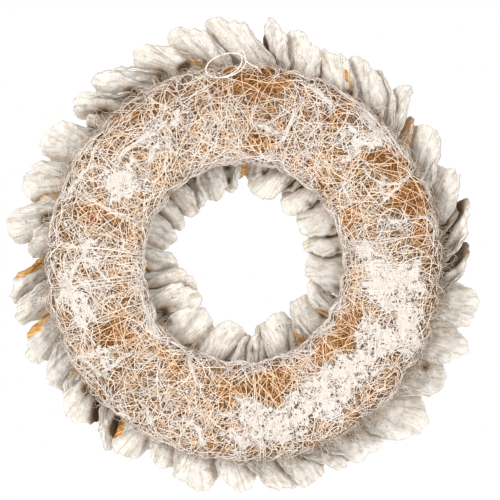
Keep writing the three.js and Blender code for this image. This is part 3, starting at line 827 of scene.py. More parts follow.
# %% Long strands
long_paths = walk_strands(rng, 760, 13, 4.2, BACK_ARCS, 0.08, (0.2, 1.1), 0.5)
long_paths = keep_painted(rng, long_paths, 0.95)
lay_strands(rng, "long_strands", long_paths, 0.20, 0.35, cream_strand)
stroke_paths = walk_strands(rng, 190, 13, 3.2, BACK_ARCS, 0.12, (0.6, 1.2), 0.3)
stroke_paths = keep_painted(rng, stroke_paths, 0.85)
lay_strands(rng, "stroke_strands", stroke_paths, 0.22, 0.38, limed_strand)
limed_paths = keep_painted(rng, walk_strands(rng, 2300, 9, 2.8, BACK_ARCS, 0.15, (0.3, 1.2), 0.5), 0.52)
lay_strands(rng, "limed_strands", limed_paths, 0.24, 0.43, limed_strand)

# %% [markdown]
# Each narrow stroke of the brush combed a bundle of strands along with it and left them stiff
# with paint. The bundles follow the corners listed above, a few strands to each millimetre.

# %% Brushed bundles
STRANDS_PER_MILLIMETRE = 3.4


def on_back(place, rise):
    deg = np.degrees(np.arctan2(place[:, 1], place[:, 0]))
    half = section_angles <= 0
    section = np.interp(np.hypot(place[:, 0], place[:, 1]), profile_radius[half], section_angles[half])
    return ring_point(deg, section, rise)


def bundle_paths(rng):
    paths = []
    for width, _, *corners in SMEARS:
        corners = np.array(corners)
        for _ in range(int(STRANDS_PER_MILLIMETRE * width)):
            start, end = sorted(rng.uniform(-0.1, 1.1, 2) * (len(corners) - 1))
            t = np.linspace(start, max(end, start + 0.5), 9)
            drift = rng.normal(0, width / 3, 2) + rng.normal(0, 0.5, (9, 2))
            place = [np.interp(t, range(len(corners)), corners[:, axis]) for axis in (0, 1)]
            paths.append(on_back(np.stack(place, axis=-1) + drift, 1.0 + rng.uniform(-0.3, 0.4)))
    return paths


bundles = bundle_paths(rng)
lay_strands(rng, "brushed_bundles", bundles, 0.24, 0.42, limed_strand)

# %% [markdown]
# Along both rims the strands mostly run round the ring, because there the winding was pulled
# tight, but they sway and cross. Over the outer rim a web of thin fibres spills onto the
# roots of the fungi: each one leaves the edge, reaches out and comes back.

# %% Strands along the rims
WEB_EDGE = 162


def along_ring(rng, count):
    return rng.choice((0, math.pi), count) + rng.normal(0, 1.1, count)


def rim_strands(rng, count, sections, height):
    arcs = [length_at_section(section) for section in sections]
    return list(walk_strands(rng, count, 8, 3.4, arcs, 0.2, height, 0.6, along_ring))


def web_paths(rng, count):
    paths = []
    for _ in range(count):
        deg = rng.uniform(0, 360) if rng.uniform() < 0.5 else rng.uniform(-80, 20)
        t = np.linspace(0, 1, 8)
        reach = rng.gamma(2.2, 3.2)
        bow = np.sin(math.pi * t) ** rng.uniform(0.5, 1.2)
        radius = WEB_EDGE + reach * bow + rng.normal(0, 0.7, 8)
        depth = rng.uniform(-13, -6) + (9 + 0.5 * reach) * bow + rng.normal(0, 0.6, 8)
        drift = rng.normal(0, 9) * t + rng.normal(0, 1.0, 8)
        paths.append(around_axis(radius, depth, deg + drift / RING_OUTER * DEGREES_PER_RADIAN))
    return paths


rim_paths = rim_strands(rng, 380, (-math.pi, -math.pi * 0.8), (0.2, 1.5))
rim_paths += rim_strands(rng, 100, (math.pi * 0.85, math.pi), (0.2, 1.2))
lay_strands(rng, "inner_rim_strands", rim_paths, 0.20, 0.34, rim_strand)
rim_paths = rim_strands(rng, 340, (-1.0, 0.0), (0.1, 1.1))
lay_strands(rng, "outer_rim_strands", rim_paths, 0.20, 0.34, rim_strand)
pale_web = web_paths(rng, 300)
lay_strands(rng, "pale_web", pale_web, 0.11, 0.20, cream_strand)
brown_web = web_paths(rng, 900)
lay_strands(rng, "brown_web", brown_web, 0.14, 0.26, root_fibre)

# %% [markdown]
# Binding threads run round the section at the places where the ring is pinched in. A tight one
# is four thin strands side by side and a slack one is two, with a little slant.

# %% Binding threads
TIGHT_THREADS = (7, 176, 188, 202, 273, 355)


def thread_paths(rng, angles, strands):
    paths = []
    for deg in np.repeat(angles, strands):
        slant = rng.normal(0, 2.4)
        shift = rng.normal(0, 1.3)
        sections = np.linspace(-math.pi, math.pi, 46)
        sway = slant * np.sin(sections / 2 + rng.uniform(0, 3))
        wander = shift + sway + 0.25 * np.sin(5 * sections + shift)
        paths.append(ring_point(deg + wander, sections, 1.2 + rng.uniform(-0.4, 0.4)))
    return paths


tight = thread_paths(rng, TIGHT_THREADS, 4)
lay_strands(rng, "binding_threads", tight, 0.24, 0.42, limed_strand)
slack = thread_paths(rng, [deg for deg in THREAD_ANGLES if deg not in TIGHT_THREADS], 2)
lay_strands(rng, "slack_threads", slack, 0.18, 0.30, cream_strand)

# %% [markdown]
# At the rims of the ring stray ends stand off and curl back. They are thin, and there are a
# few hundred of them, mostly at the outer edge. Short fuzz breaks the line of both edges.

# %% Stray ends
def fuzz_paths(rng, count, section, sway):
    paths = []
    for _ in range(count):
        t = np.linspace(0, 1, 5)
        deg = rng.uniform(0, 360) + rng.normal(0, 1.2) * t
        rise = 0.2 + rng.uniform(0.8, 2.4) * np.sin(t * rng.uniform(1.6, 3.0))
        paths.append(ring_point(deg, section + rng.normal(0, sway) + rng.normal(0, 0.12) * t, rise))
    return paths


def stray_paths(rng, count, side):
    paths = []
    for _ in range(count):
        deg = rng.uniform(0, 360)
        section = rng.normal(-0.45, 0.35) if side > 0 else -math.pi + rng.normal(0.5, 0.3)
        reach = rng.uniform(10, 26)
        height = rng.uniform(1.5, 5.0)
        slant = rng.choice((-1, 1)) * rng.uniform(0.4, 1.0)
        t = np.linspace(0, 1, 9)
        deg_path = deg + slant * reach * t / RING_OUTER * DEGREES_PER_RADIAN
        section_path = section + rng.uniform(-0.35, 0.35) * t * t
        rise = 0.4 + height * np.sin(math.pi * t * rng.uniform(0.7, 1.1))
        paths.append(ring_point(deg_path, section_path, rise))
    return paths


strays = stray_paths(rng, 260, 1) + stray_paths(rng, 90, -1)
lay_strands(rng, "stray_ends", strays, 0.12, 0.24, cream_strand)
fuzz = fuzz_paths(rng, 450, -0.2, 0.25) + fuzz_paths(rng, 300, -math.pi + 0.15, 0.15)
lay_strands(rng, "rim_fuzz", fuzz, 0.10, 0.20, limed_strand)

# %% [markdown]
# Thin dark brown strands also lie in the crevices between the roots of the inner fungi.

# %% Fibres in the inner crevices
CREVICE_EDGE = 88
INNER_CREVICES = (340, 318, 304, 240, 217, 136, 122, 110, 92, 60)


def crevice_paths(rng, count):
    paths = []
    for deg in rng.choice(INNER_CREVICES, count) + rng.normal(0, 2.5, count):
        t = np.linspace(0, 1, 8)
        reach = rng.gamma(2.0, 2.2)
        bow = np.sin(math.pi * t)
        radius = CREVICE_EDGE - reach * bow + rng.normal(0, 0.5, 8)
        depth = rng.uniform(-11, -5) + (7 + 0.5 * reach) * bow + rng.normal(0, 0.6, 8)
        drift = rng.normal(0, 5) * t + rng.normal(0, 0.8, 8)
        paths.append(around_axis(radius, depth, deg + drift / RING_INNER * DEGREES_PER_RADIAN))
    return paths


crevice_web = crevice_paths(rng, 240)
lay_strands(rng, "crevice_web", crevice_web, 0.14, 0.26, root_fibre)

# %% [markdown]
# ## Crust
# Where the whitewash lies thick it bridges the strands like lace. A fine grid is bent onto
# the ring, the cells outside the patches and in random holes are deleted, and what is left
# gets a little thickness.

# %% Crust
CRUST_CELL = 0.95
CRUST_THICKNESS = 0.5 * MM
CRUST_MID_RADIUS = 128
LEAST_PAINT = 0.15
LACE_LEVEL = 0.42


def make_crust():
    turn_cells = int(2 * math.pi * CRUST_MID_RADIUS / CRUST_CELL)
    first, last = length_at_section(-math.pi * 0.99), length_at_section(-0.25)
    arc_cells = int((last - first) / CRUST_CELL)
    bm = bmesh.new()
    bmesh.ops.create_grid(bm, x_segments=turn_cells, y_segments=arc_cells, size=1)
    flat = np.array([vert.co for vert in bm.verts])
    deg = (flat[:, 0] + 1) * 180
    arc = first + (flat[:, 1] + 1) / 2 * (last - first)
    section = np.interp(arc, section_length, section_angles)
    base = ring_point(deg, section, np.zeros(len(deg)))
    paint = paint_at(deg, np.hypot(base[:, 0], base[:, 2]), 0.0)
    chosen = paint > LEAST_PAINT
    holes = np.zeros(len(deg))
    holes[chosen] = noise_at(base[chosen], 5.0, 3) * 0.8 + noise_at(base[chosen], 1.5, 4) * 0.9
    keep = chosen & (1.1 * holes + paint > LACE_LEVEL)
    points = to_place(ring_point(deg, section, 0.45 + 0.25 * holes))
    for vert, point in zip(bm.verts, points):
        vert.co = point
    gone = [vert for vert, stays in zip(bm.verts, keep) if not stays]
    bmesh.ops.delete(bm, geom=gone, context="VERTS")
    all_axes = {"use_axis_x": True, "use_axis_y": True, "use_axis_z": True}
    bmesh.ops.smooth_vert(bm, verts=bm.verts, factor=0.5, **all_axes)
    bmesh.ops.solidify(bm, geom=bm.faces, thickness=CRUST_THICKNESS)
    return mesh_from(bm, "limewash_crust")


crust_mesh = make_crust()
face_outwards(crust_mesh)
add_piece("limewash_crust", crust_mesh, limewash_crust)
print("crust triangles", triangle_count(crust_mesh))

# %% [markdown]
# ## The fungi
# A dried bracket fungus is a thick fan: a narrow root, a lobed margin with a rounded rim,
# zones across its cap and gills below. Each one starts as a flat grid of two layers. The grid
# is drawn into the fan with the formula of the CAD source, and gets finer relief on the way.

# %% Blanks
HALF_FAN = 1.95
FAN_SQUARENESS = 0.78
ROOT_DEPTH = -2.5


def make_blank(columns, rows):
    bm = bmesh.new()
    bmesh.ops.create_grid(bm, x_segments=columns, y_segments=rows, size=1)
    bmesh.ops.solidify(bm, geom=bm.faces, thickness=0.1)
    return mesh_from(bm, "fungus_blank")


rim_blank = make_blank(44, 20)
front_blank = make_blank(22, 16)
print("blank vertices", len(rim_blank.vertices), len(front_blank.vertices))

# %% [markdown]
# A piece is a small set of named values. The rim pieces are listed one by one: the angle
# where each passes the ring's edge, the angle and radius of its tip, its width and its tilt.

# %% Rim pieces
OUTER_CENTRE = np.array((2.5, 0, 4.2))
OUTER_RIM = [
    (-3, 3.5, 187, 36, 48), (5, 14, 193, 36, 66), (11.5, 15.5, 186, 28, 40), (18.5, 24, 190, 42, 26),
    (29, 36, 193, 38, 42), (38, 41, 184, 18, 34), (43.5, 47, 200, 30, 45), (48, 53.5, 191, 36, 36),
    (55, 62, 193, 44, 33), (64, 69.5, 188, 40, 30), (75, 77, 197, 42, 20), (81.5, 83.7, 203, 32, 48),
    (89, 97.5, 205, 42, 36), (101, 107, 203, 42, 28), (110, 118.5, 198, 42, 36), (121, 131, 200, 40, 44),
    (131, 139.3, 198, 38, 58), (137.5, 138.3, 181, 22, 24), (146.5, 149, 200, 46, 20),
    (158, 161, 201, 44, 22), (163, 165.5, 188, 20, 60), (168.5, 173, 205, 42, 24), (174.5, 177, 185, 34, 26),
    (183.5, 190, 203, 38, 50), (190.5, 194.5, 201, 36, 38), (200, 205, 202, 40, 30), (209, 214, 198, 38, 33),
    (219, 223.5, 201, 46, 24), (228, 233, 200, 34, 55), (238, 237, 198, 42, 20), (246.5, 247.5, 191, 34, 22),
    (255.5, 257.5, 201, 46, 20), (266, 269, 195, 40, 22), (274, 282.5, 199, 38, 42),
    (283.5, 287.5, 200, 38, 32), (289.5, 297, 196, 32, 50), (297, 304.5, 198, 40, 34),
    (311.5, 317.5, 206, 52, 22), (323.5, 329, 197, 42, 30), (335.5, 337.5, 200, 42, 20),
    (346.5, 348, 201, 44, 20),
]
INNER_CENTRE = np.array((0.8, 0, 0.8))
INNER_RIM = [
    (-6, 2, 50, 40, 20), (12.5, 14.5, 52, 28, 34), (29, 31, 55, 38, 20), (49.5, 53, 55, 32, 22),
    (60, 63, 67, 20, 45), (70, 84, 58, 36, 22), (84, 88, 69, 24, 26), (92, 94, 71, 16, 60),
    (97, 101.5, 62, 24, 52), (111, 110, 59, 30, 20), (121.5, 127, 59, 28, 56), (136, 136.5, 59, 28, 22),
    (148, 151, 60, 26, 32), (160, 163, 61, 28, 25), (177, 184, 57, 30, 32), (194, 199, 47, 32, 28),
    (206, 212, 49, 36, 20), (215, 219, 67, 20, 32), (230, 233, 52, 40, 18), (241, 243, 75, 18, 40),
    (254, 262, 53, 38, 20), (267, 273, 64, 24, 56), (279, 286, 54, 28, 36), (294, 300, 51, 38, 20),
    (315, 326, 53, 36, 24), (331, 341, 58, 28, 52),
]
OUTER_EDGE = 169
OUTER_ROOTS = 152
INNER_EDGE = 85
INNER_ROOTS = 99
LONGEST_HIDDEN_PART = 30
RIM_RISE = 12


def front_depth_at(radius):
    across = min(1, abs(radius - RING_MID) / RING_HALF_WIDTH)
    return RING_HALF_DEPTH * (1 - across ** RING_ROUNDNESS) ** (1 / RING_ROUNDNESS)


def seat_normal_at(point):
    radius = math.hypot(point[0], point[2])
    slope = front_depth_at(radius + 0.5) - front_depth_at(radius - 0.5)
    away = np.array((point[0], 0, point[2])) / radius
    normal = -slope * away + FRONT
    return normal / np.linalg.norm(normal)


def turned(vector, axis, deg):
    angle = math.radians(deg)
    along = axis * np.dot(axis, vector) * (1 - math.cos(angle))
    return vector * math.cos(angle) + np.cross(axis, vector) * math.sin(angle) + along


def make_piece(index, root, length_axis, tilt, length, width, sideways):
    sideways = sideways - length_axis * np.dot(sideways, length_axis)
    across = turned(sideways / np.linalg.norm(sideways), length_axis, tilt)
    return {
        "index": index, "root": root, "along": length_axis, "across": across,
        "face": np.cross(across, length_axis), "seat": seat_normal_at(root),
        "length": length, "width": width, "root_width": width * 0.36,
        "thick": 7.5 + spread(index, 1, 1), "margin": 4.2 + spread(index, 2, 0.6),
        "arch": width * (0.1 + spread(index, 3, 0.05)), "curl": spread(index, 4, 3),
        "wave": 0.8 + draw(index, 5) * 0.9, "lobes": 0.07 + draw(index, 6) * 0.07,
        "broad": draw(index, 7) * 2 * math.pi, "fine": draw(index, 8) * 2 * math.pi,
    }


def rim_piece(entry, index, centre, edge_radius, root_radius, outer):
    edge_deg, tip_deg, tip_radius, width, tilt = entry
    edge = centre + outward(edge_deg) * edge_radius
    tip = centre + outward(tip_deg) * tip_radius
    heading = (tip - edge) / np.linalg.norm(tip - edge)
    root = edge.copy()
    hidden = 0
    while hidden < LONGEST_HIDDEN_PART and outer != (np.linalg.norm(root) < root_radius):
        root = root - heading
        hidden += 1
    root[1] = front_depth_at(np.linalg.norm(root))
    tip[1] = root[1] + RIM_RISE + spread(index, 9, 3)
    length = np.linalg.norm(tip - root)
    side = -1 if outer else 1
    sideways = anticlockwise((edge_deg + tip_deg) / 2) * side
    return make_piece(index, root, (tip - root) / length, side * tilt, length, width, sideways)


outer_pieces = []
for i, entry in enumerate(OUTER_RIM):
    outer_pieces.append(rim_piece(entry, i, OUTER_CENTRE, OUTER_EDGE, OUTER_ROOTS, True))
inner_pieces = []
for i, entry in enumerate(INNER_RIM):
    inner_pieces.append(rim_piece(entry, 100 + i, INNER_CENTRE, INNER_EDGE, INNER_ROOTS, False))
print("rim pieces", len(outer_pieces), len(inner_pieces))

# %% [markdown]
# The two rows on the front are not in the picture. They follow a rule with draws, as the CAD
# source does.

# %% Front pieces
FRONT_OUTER = {
    "first": 200, "count": 18, "start": 1, "radius": 138, "growth": 74, "lean": 50, "tilt": -76,
    "length": 50, "width": 46,
}
FRONT_INNER = {
    "first": 250, "count": 16, "start": 9, "radius": 112, "growth": 104, "lean": 50, "tilt": -104,
    "length": 45, "width": 42,
}


def front_piece(row, i):
    index = row["first"] + i
    deg = row["start"] + 360 * i / row["count"] + spread(index, 10, 1.6)
    radius = row["radius"] + spread(index, 11, 1.5)
    growth = math.radians(row["growth"] + spread(index, 12, 5))
    lean = math.radians(row["lean"] + spread(index, 13, 5))
    root = outward(deg) * radius + FRONT * front_depth_at(radius)
    along = outward(deg) * math.cos(growth) + FRONT * math.sin(growth)
    along = along * math.cos(lean) + anticlockwise(deg) * math.sin(lean)
    along = along / np.linalg.norm(along)
    tilt = row["tilt"] + spread(index, 14, 7)
    length = row["length"] + spread(index, 15, 4)
    width = row["width"] + spread(index, 16, 4)
    return make_piece(index, root, along, tilt, length, width, -anticlockwise(deg))


front_outer_pieces = [front_piece(FRONT_OUTER, i) for i in range(FRONT_OUTER["count"])]
front_inner_pieces = [front_piece(FRONT_INNER, i) for i in range(FRONT_INNER["count"])]
print("front pieces", len(front_outer_pieces), len(front_inner_pieces))

# %% [markdown]
# Now the drawing itself. The columns of the blank fan out, its rows run from the root to the
# margin and crowd there, where the rim is rounded. Ribs run along the fan, zones run across
# it, and two sizes of noise make it uneven like something that grew. The formula alone is too
# square at the near shoulder, where near means the edge that lies closer to the camera, so
# each rim row is trimmed there by a few millimetres. The outer margins crumbled, and the inner
# ones, which nothing rubs against, stayed almost smooth.

# %% Drawing one fungus
# trims in millimetres at the far shoulder, tip, near shoulder and near side
OUTER_TRIM = (0, 1, -4, -3)
INNER_TRIM = (0, 0, -3, -2)
FRONT_TRIM = (0, 0, 0, 0)
TRIM_PLACES = (-0.45, -0.2, 0.0, 0.3, 0.6, 1.0)


def near_side(piece):
    return -1 if 100 <= piece["index"] < 200 else 1


def trim_at(piece, q):
    amounts = (OUTER_TRIM, INNER_TRIM, FRONT_TRIM)[piece["index"] // 100]
    return np.interp(q * near_side(piece), TRIM_PLACES, (0, *amounts, 0.5 * amounts[3]))


def fan_outline(piece, s, q):
    turn = q * HALF_FAN
    centre = 0.45 * piece["length"]
    ragged = 0.018 * np.sin(13 * turn + 5 * piece["fine"]) + 0.014 * np.sin(22 * turn + 3 * piece["broad"])
    crumbling = 0.03 if near_side(piece) > 0 else 0.008
    crumbs = crumbling * np.sin(31 * turn + 9 * piece["fine"]) * np.sin(47 * turn + 4 * piece["broad"])
    lobes = piece["lobes"] * 0.5 * (np.cos(2 * turn + piece["broad"]) + np.cos(5 * turn + piece["fine"]))
    lobe = 1 + lobes + ragged + crumbs
    margin_x = piece["width"] / 2 * signed_power(np.sin(turn), FAN_SQUARENESS) * lobe
    margin_y = centre + (piece["length"] - centre) * signed_power(np.cos(turn), FAN_SQUARENESS) * lobe
    scale = 1 + trim_at(piece, q) / np.hypot(margin_x, margin_y - centre)
    margin_x = margin_x * scale
    margin_y = centre + (margin_y - centre) * scale
    root_x = piece["root_width"] / 2 * q
    return root_x + (margin_x - root_x) * s, margin_y * s


def fan_relief(piece, s, q, side):
    index = piece["index"]
    ribs = np.zeros_like(s)
    for k in range(3):
        pitch = 7 + 5 * k + 3 * draw(index, 30 + k)
        ribs += (0.55 - 0.13 * k) * np.sin(pitch * q + 6.3 * draw(index, 40 + k) + 1.2 * s)
    zones = np.sin(2 * math.pi * (s * (3.2 + draw(index, 50)) + draw(index, 51) + 0.12 * np.sin(4 * q)))
    cap = ribs * 0.7 * s + 0.45 * zones * smoothstep(s, 0.35, 0.7)
    gills = np.sin(q * piece["width"] * 1.15) * smoothstep(s, 0.1, 0.4)
    return np.where(side > 0, cap + 0.12 * gills, 0.6 * gills + 0.4 * ribs * s)


def fold_depth(piece, s, q):
    index = piece["index"]
    depth = np.zeros_like(s)
    for k in range(2):
        middle = spread(index, 70 + k, 0.7) + 0.25 * (s - 0.5) * spread(index, 72 + k, 1)
        width = 0.10 + 0.10 * draw(index, 74 + k)
        amount = 1.2 + 2.2 * draw(index, 76 + k)
        depth -= amount * np.exp(-((q - middle) / width) ** 2) * smoothstep(s, 0.05, 0.5)
    if index in CUPPED:
        middle = CUPPED[index]
        depth -= 3 * (1 - smoothstep(q, middle - 0.2, middle + 0.2)) * smoothstep(s, 0.1, 0.5)
    return depth


def loose_point(piece, s, q, side):
    x, y = fan_outline(piece, s, q)
    arch = piece["arch"] * (1 - (2 * x / piece["width"]) ** 2) * s
    curl = piece["curl"] * (y / piece["length"]) ** 2 + fold_depth(piece, s, q)
    wave = piece["wave"] * s * s * np.sin(3 * q * HALF_FAN + piece["broad"])
    half = (piece["thick"] + (piece["margin"] - piece["thick"]) * np.sqrt(s)) / 2
    rim = piece["margin"] / 2 / piece["length"]
    rounding = np.sqrt(1 - np.clip((s - 1 + rim) / rim, 0, 1) ** 2) * np.sqrt(1 - q ** 8)
    lift = arch + curl + wave + side * rounding * (half + fan_relief(piece, s, q, side))
    flat = piece["root"] + np.outer(x, piece["across"]) + np.outer(y, piece["along"])
    return flat + np.outer(lift, piece["face"])


def draw_fungus(piece, blank):
    flat = read_points(blank)
    q = 0.6 * flat[:, 0] + 0.4 * np.sin(flat[:, 0] * math.pi / 2)
    s = 1 - (1 - (flat[:, 1] + 1) / 2) ** 1.8
    side = np.where(flat[:, 2] > -0.05, 1.0, -1.0)
    at_root = loose_point(piece, np.zeros_like(s), q, side)
    height = (at_root - piece["root"]) @ piece["seat"]
    slide = (ROOT_DEPTH - height) / np.dot(piece["along"], piece["seat"])
    points = loose_point(piece, s, q, side) + np.outer(slide * (1 - s), piece["along"])
    away = 2.4 * noise_at(points, 15.0, 5) + 0.7 * noise_at(points, 4.5, 6)
    points = points + np.outer(away * np.minimum(1, 4 * s), piece["face"])
    mesh = blank.copy()
    write_points(mesh, to_place(points))
    return mesh, s, q, side


all_pieces = outer_pieces + inner_pieces + front_outer_pieces + front_inner_pieces
print("formula ready for", len(all_pieces), "fungi")

# %% [markdown]
# Some fungi show bare ochre flesh where the whitewash rubbed off, mostly along one edge. The
# list names the piece, the part of the fan from edge to edge and from root to margin, and the
# amount. The deepest hollows between neighbours are listed too: painted shade darkens them to
# near black, as it darkens the roots, the sides under a neighbour and the cupped pieces.

# %% Bare places and shading
BARE = {
    9: (0.4, 0.85, 0.5, 0.78, 0.5), 14: (0.8, 1.0, 0.3, 0.9, 0.5), 20: (-1.0, 1.0, 0.1, 1.0, 0.53),
    23: (0.5, 1.0, 0.5, 1.0, 0.58), 25: (0.5, 1.0, 0.62, 1.0, 0.56), 27: (0.9, 1.0, 0.6, 1.0, 0.45),
    29: (0.42, 0.95, 0.72, 1.0, 0.6), 5: (-1.0, 1.0, 0.5, 1.0, 0.47), 107: (-1.0, 0.3, 0.2, 1.0, 0.62),
    114: (0.4, 1.0, 0.2, 0.9, 0.6), 124: (-1.0, -0.8, 0.3, 1.0, 0.5), 125: (-1.0, -0.74, 0.3, 1.0, 0.5),
}
# DARKER adds painted shade to single pieces
DARKER = {2: 0.3, 5: 0.2, 7: 0.15, 16: 0.15, 17: 0.2, 22: 0.2, 104: 0.3, 106: 0.2, 117: 0.3, 119: 0.35}
# CUPPED gives a cup its fold and painted shade inside it
CUPPED = {0: 0.35, 1: 0.2, 11: -0.2, 27: -0.15, 28: -0.2}
COMBED = {
    0: 0.9, 1: 0.9, 13: 0.5, 14: 0.9, 15: 0.7, 16: 0.9, 23: 0.7, 27: 0.8, 28: 0.7, 29: 0.9, 35: 0.5,
    105: 0.5, 124: 0.7,
}
FAINT_COMB = 0.25
NO_CUP = -9
# strengths of the painted shade, and of the painted light on the margin
TUCKED_SHADE = 0.4
COVERED_SHADE = 0.53
CUPPED_SHADE = 0.8
HOLLOW_SHADE = 0.95
ROOT_SHADE = 0.40
MARGIN_PAINTED_LIGHT = 0.12
SHADOW_REACH = 5.5
SIDE_POINTS = 24
MARGIN_POINTS = 20
# hollows between the rim fungi that get near-black painted shade
HOLLOWS = [
    # right, up and radius in millimetres
    (-110, -141, 4.5), (-109, -139, 4), (-110, -144, 4), (-108, -134, 4), (-96, 144, 7), (-71, 159, 7),
    (-48, 169, 4.5), (-119, 127, 6), (-53, 165, 4.5), (-129, 111, 3.5), (-142, 82, 4), (-52, 67, 2.8),
    (-42, 71, 2.5), (-14, 81, 2.5), (-14, 70, 2.5), (17, 77, 2.5), (38, 67, 2.8), (49, 65, 2.2),
    (56, 49, 3), (76, 30, 3.5), (72, 23, 2.5), (80, 11, 3), (90, 144, 4), (99, 132, 3), (112, 126, 3.5),
    (63, 156, 3.5), (159, 60, 4), (167, 33, 5), (170, 21, 4), (-168, 38, 4.5), (-68, -42, 3.5),
    (-63, -50, 3), (-47, -72, 3), (-38, -78, 3), (-11, -86, 2.8), (-133, -108, 6), (80, -22, 4),
    (77, -30, 3), (50, -66, 4), (60, -62, 3), (7, -74, 2.8), (23, -82, 2.8), (67, -43, 3),
    (90, -145, 4), (50, -164, 4), (154, -89, 4),
]


def near_edge(piece):
    s = np.concatenate((np.linspace(0.15, 1, SIDE_POINTS), np.ones(MARGIN_POINTS)))
    across = np.concatenate((np.ones(SIDE_POINTS), np.linspace(1, 0.1, MARGIN_POINTS)))
    return loose_point(piece, s, near_side(piece) * across, np.ones(SIDE_POINTS + MARGIN_POINTS))


# the painted shadow that the covering neighbour's near edge casts
def covered_share(points, cover):
    if cover is None:
        return np.zeros(len(points))
    edge = near_edge(cover)
    gaps = points[:, None, (0, 2)] - edge[None, :, (0, 2)]
    return np.exp(-np.sqrt((gaps ** 2).sum(axis=-1)).min(axis=1) / SHADOW_REACH)


def hollow_share(points):
    total = np.zeros(len(points))
    for x, z, radius in HOLLOWS:
        total += np.exp(-((points[:, 0] - x) ** 2 + (points[:, 2] - z) ** 2) / radius ** 2)
    return total


def write_fan_values(mesh, piece, s, q, side, cover):
    index = piece["index"]
    fan = np.stack((q * piece["width"] * 0.75, s * piece["length"], side * 2 + index * 1.7), axis=-1)
    attribute = mesh.attributes.new("fan", "FLOAT_VECTOR", "POINT")
    attribute.data.foreach_set("vector", fan.astype(np.float32).ravel())
    left, right, low, high, amount = BARE.get(index, (0, 0, 0, 0, 0))
    inside = (q >= left) & (q <= right) & (s >= low) & (s <= high)
    write_value(mesh, "bare", np.where(inside, amount, 0))
    near = q * near_side(piece)
    write_value(mesh, "comb", COMBED.get(index, FAINT_COMB) * smoothstep(near, 0.6, 0.78))
    # painted shade: the root, the far side tucked under a neighbour, the shadow of the covering neighbour's
    # edge, the inside of a cup and the listed hollows; the margin gets a little painted light
    tucked = smoothstep(-near, 0.0, 0.95) * (1 - 0.35 * s)
    deep = 1 - smoothstep(s, 0.28, 0.62)
    cup = CUPPED.get(index, NO_CUP)
    points = read_millimetres(mesh)
    back = TUCKED_SHADE * tucked + COVERED_SHADE * covered_share(points, cover)
    back += CUPPED_SHADE * (1 - smoothstep(near, cup - 0.15, cup + 0.15))
    back += HOLLOW_SHADE * hollow_share(points)
    shade = ROOT_SHADE * deep + back * (side > 0) + spread(index, 60, 0.06)
    shade = shade - MARGIN_PAINTED_LIGHT * smoothstep(s, 0.85, 1.0)
    write_value(mesh, "shade", shade + DARKER.get(index, 0))


def make_fungus(piece, cover, blank):
    mesh, s, q, side = draw_fungus(piece, blank)
    write_fan_values(mesh, piece, s, q, side, cover)
    bm = bmesh.new()
    bm.from_mesh(mesh)
    bmesh.ops.remove_doubles(bm, verts=bm.verts, dist=2e-5)
    bmesh.ops.dissolve_degenerate(bm, dist=1e-6, edges=bm.edges)
    bm.to_mesh(mesh)
    bm.free()
    return mesh


# %% [markdown]
# A CAD node holds one to three neighbours of a row, so the fungi are joined in the same way
# and each group replaces its node.

# %% All fungi
def make_row(row, pieces, nodes, blank, on_rim=False):
    total = 0
    for k in range(nodes):
        first = math.floor(k * len(pieces) / nodes + 0.5)
        last = math.floor((k + 1) * len(pieces) / nodes + 0.5)
        bm = bmesh.new()
        for i in range(first, last):
            cover = pieces[(i + 1) % len(pieces)] if on_rim else None
            bm.from_mesh(make_fungus(pieces[i], cover, blank))
        mesh = mesh_from(bm, f"fungi_{row}_{k + 1:02d}")
        face_outwards(mesh)
        add_piece(mesh.name, mesh, chalky_fungus, [f"fungus_{row}_{k + 1:02d}"])
        total += triangle_count(mesh)
    print(row, len(pieces), "fungi", total, "triangles")


make_row("outer_rim", outer_pieces, 15, rim_blank, on_rim=True)
make_row("inner_rim", inner_pieces, 9, rim_blank, on_rim=True)
make_row("front_outer", front_outer_pieces, 18, front_blank)
make_row("front_inner", front_inner_pieces, 16, front_blank)

# %% [markdown]
# ## The hanging eye
# One stiff wire makes a slanted eye. It is doubled at its lower right, twisted at the top and
# ends in a tail that dives into the fibre.

# %% Wire routes
WIRE_RADIUS = 0.62
EYE = {"x": -15.2, "z": 166, "half_length": 17.2, "half_height": 9.5, "lean": 16.4}
SECOND_STRAND = [
    (-18, -19.4, 156), (-11.5, -20.6, 158.3), (-5.5, -21.6, 162.6), (-2, -22, 168), (-2, -22.2, 173),
    (-4.5, -21.8, 176.6),
]
TAIL = [
    (-5.4, -21.8, 176), (-2.6, -22.4, 178.6), (0.2, -22.6, 176.4), (1.8, -22.2, 170),
    (6, -20.6, 166.6), (11.8, -19, 163.6), (15.4, -15.2, 158.6),
]


def eye_route(count):
    lean = math.radians(EYE["lean"])
    turns = np.linspace(0, 2 * math.pi, count)
    along = EYE["half_length"] * np.cos(turns)
    up = EYE["half_height"] * np.sin(turns)
    height = along * math.sin(lean) + up * math.cos(lean)
    share = np.clip(0.5 + height / (2 * EYE["half_height"]), 0, 1)
    x = EYE["x"] + along * math.cos(lean) - up * math.sin(lean)
    return np.stack((x, -20 - 1.5 * share, EYE["z"] + height), axis=-1)


def smooth_route(corners, count):
    corners = np.array(corners, dtype=float)
    padded = np.vstack((2 * corners[0] - corners[1], corners, 2 * corners[-1] - corners[-2]))
    route = []
    for t in np.linspace(0, len(corners) - 1.0001, count):
        k = int(t)
        u = t - k
        a, b, c, d = padded[k:k + 4]
        second = (2 * a - 5 * b + 4 * c - d) * u * u
        third = (3 * b - a - 3 * c + d) * u ** 3
        route.append(0.5 * (2 * b + (c - a) * u + second + third))
    return np.array(route)


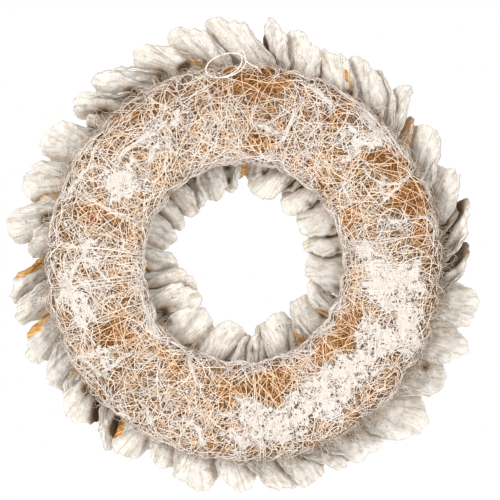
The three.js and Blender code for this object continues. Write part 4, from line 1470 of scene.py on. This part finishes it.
wire_paths = [eye_route(72), smooth_route(SECOND_STRAND, 40), smooth_route(TAIL, 56)]
wire_radii = []
for path in wire_paths:
    k = np.arange(len(path))
    wire_radii.append(WIRE_RADIUS + 0.10 * np.sin(k * 0.9) + 0.07 * np.sin(k * 2.3))
wire_mesh = strands_to_mesh("hanging_wire", wire_paths, wire_radii, 8)
add_piece("hanging_wire", wire_mesh, limed_wire, ["hanging_eye"])
print("wire triangles", triangle_count(wire_mesh))

# %% [markdown]
# ## Studio
# The picture has a white ground and light from all sides, as in a light tent. A white world
# gives that: the camera sees it white, but it sheds only two thirds of that light. Three soft
# lamps model the forms: the key lamp at the upper left, a fill lamp at the lower right, and a
# third one that lights the front. A pale floor lies well below the hanging wreath.

# %% Floor, world and lamps
FLOOR_HEIGHT = -0.62
LAMP_TARGET = (0, 0, -0.17)


def make_floor():
    bm = bmesh.new()
    bmesh.ops.create_grid(bm, x_segments=1, y_segments=1, size=1.0)
    bmesh.ops.translate(bm, verts=bm.verts, vec=(0, 0, FLOOR_HEIGHT))
    mesh = mesh_from(bm, "floor")
    material, tree, shader = start_material("pale_floor", 0.9)
    cloud = add_noise(tree, object_place(tree), 3.0, 2.0)
    tone = add_ramp(tree, cloud, [(0.3, grey(0.84)), (0.7, grey(0.87))])
    tree.links.new(tone, shader.inputs["Base Color"])
    mesh.materials.append(material)
    floor = bpy.data.objects.new("floor", mesh)
    bpy.context.collection.objects.link(floor)


def make_lamp(name, location, size, power):
    lamp_data = bpy.data.lights.new(name, "AREA")
    lamp_data.size = size
    lamp_data.energy = power
    lamp = bpy.data.objects.new(name, lamp_data)
    lamp.location = location
    direction = Vector(LAMP_TARGET) - Vector(location)
    lamp.rotation_euler = direction.to_track_quat("-Z", "Y").to_euler()
    bpy.context.collection.objects.link(lamp)


def make_world(seen, shed):
    world = bpy.data.worlds.new("light_tent")
    world.use_nodes = True
    bpy.context.scene.world = world
    tree = world.node_tree
    background = tree.nodes["Background"]
    background.inputs["Color"].default_value = (1, 1, 1, 1)
    camera_ray = tree.nodes.new("ShaderNodeLightPath").outputs["Is Camera Ray"]
    extra = add_math(tree, "MULTIPLY", camera_ray, seen - shed)
    tree.links.new(add_math(tree, "ADD", extra, shed), background.inputs["Strength"])


make_floor()
make_world(seen=1.0, shed=0.66)
make_lamp("key_lamp", (-1.2, -1.9, 0.5), 0.6, 42)
make_lamp("fill_lamp", (1.4, -1.9, -0.4), 0.9, 30)
make_lamp("front_lamp", (0.5, 2.4, 0.5), 1.2, 58)
bpy.context.scene.view_settings.view_transform = "Standard"
print("lamps", len(bpy.data.lights))

# %% Update the scene
bpy.context.view_layer.update()
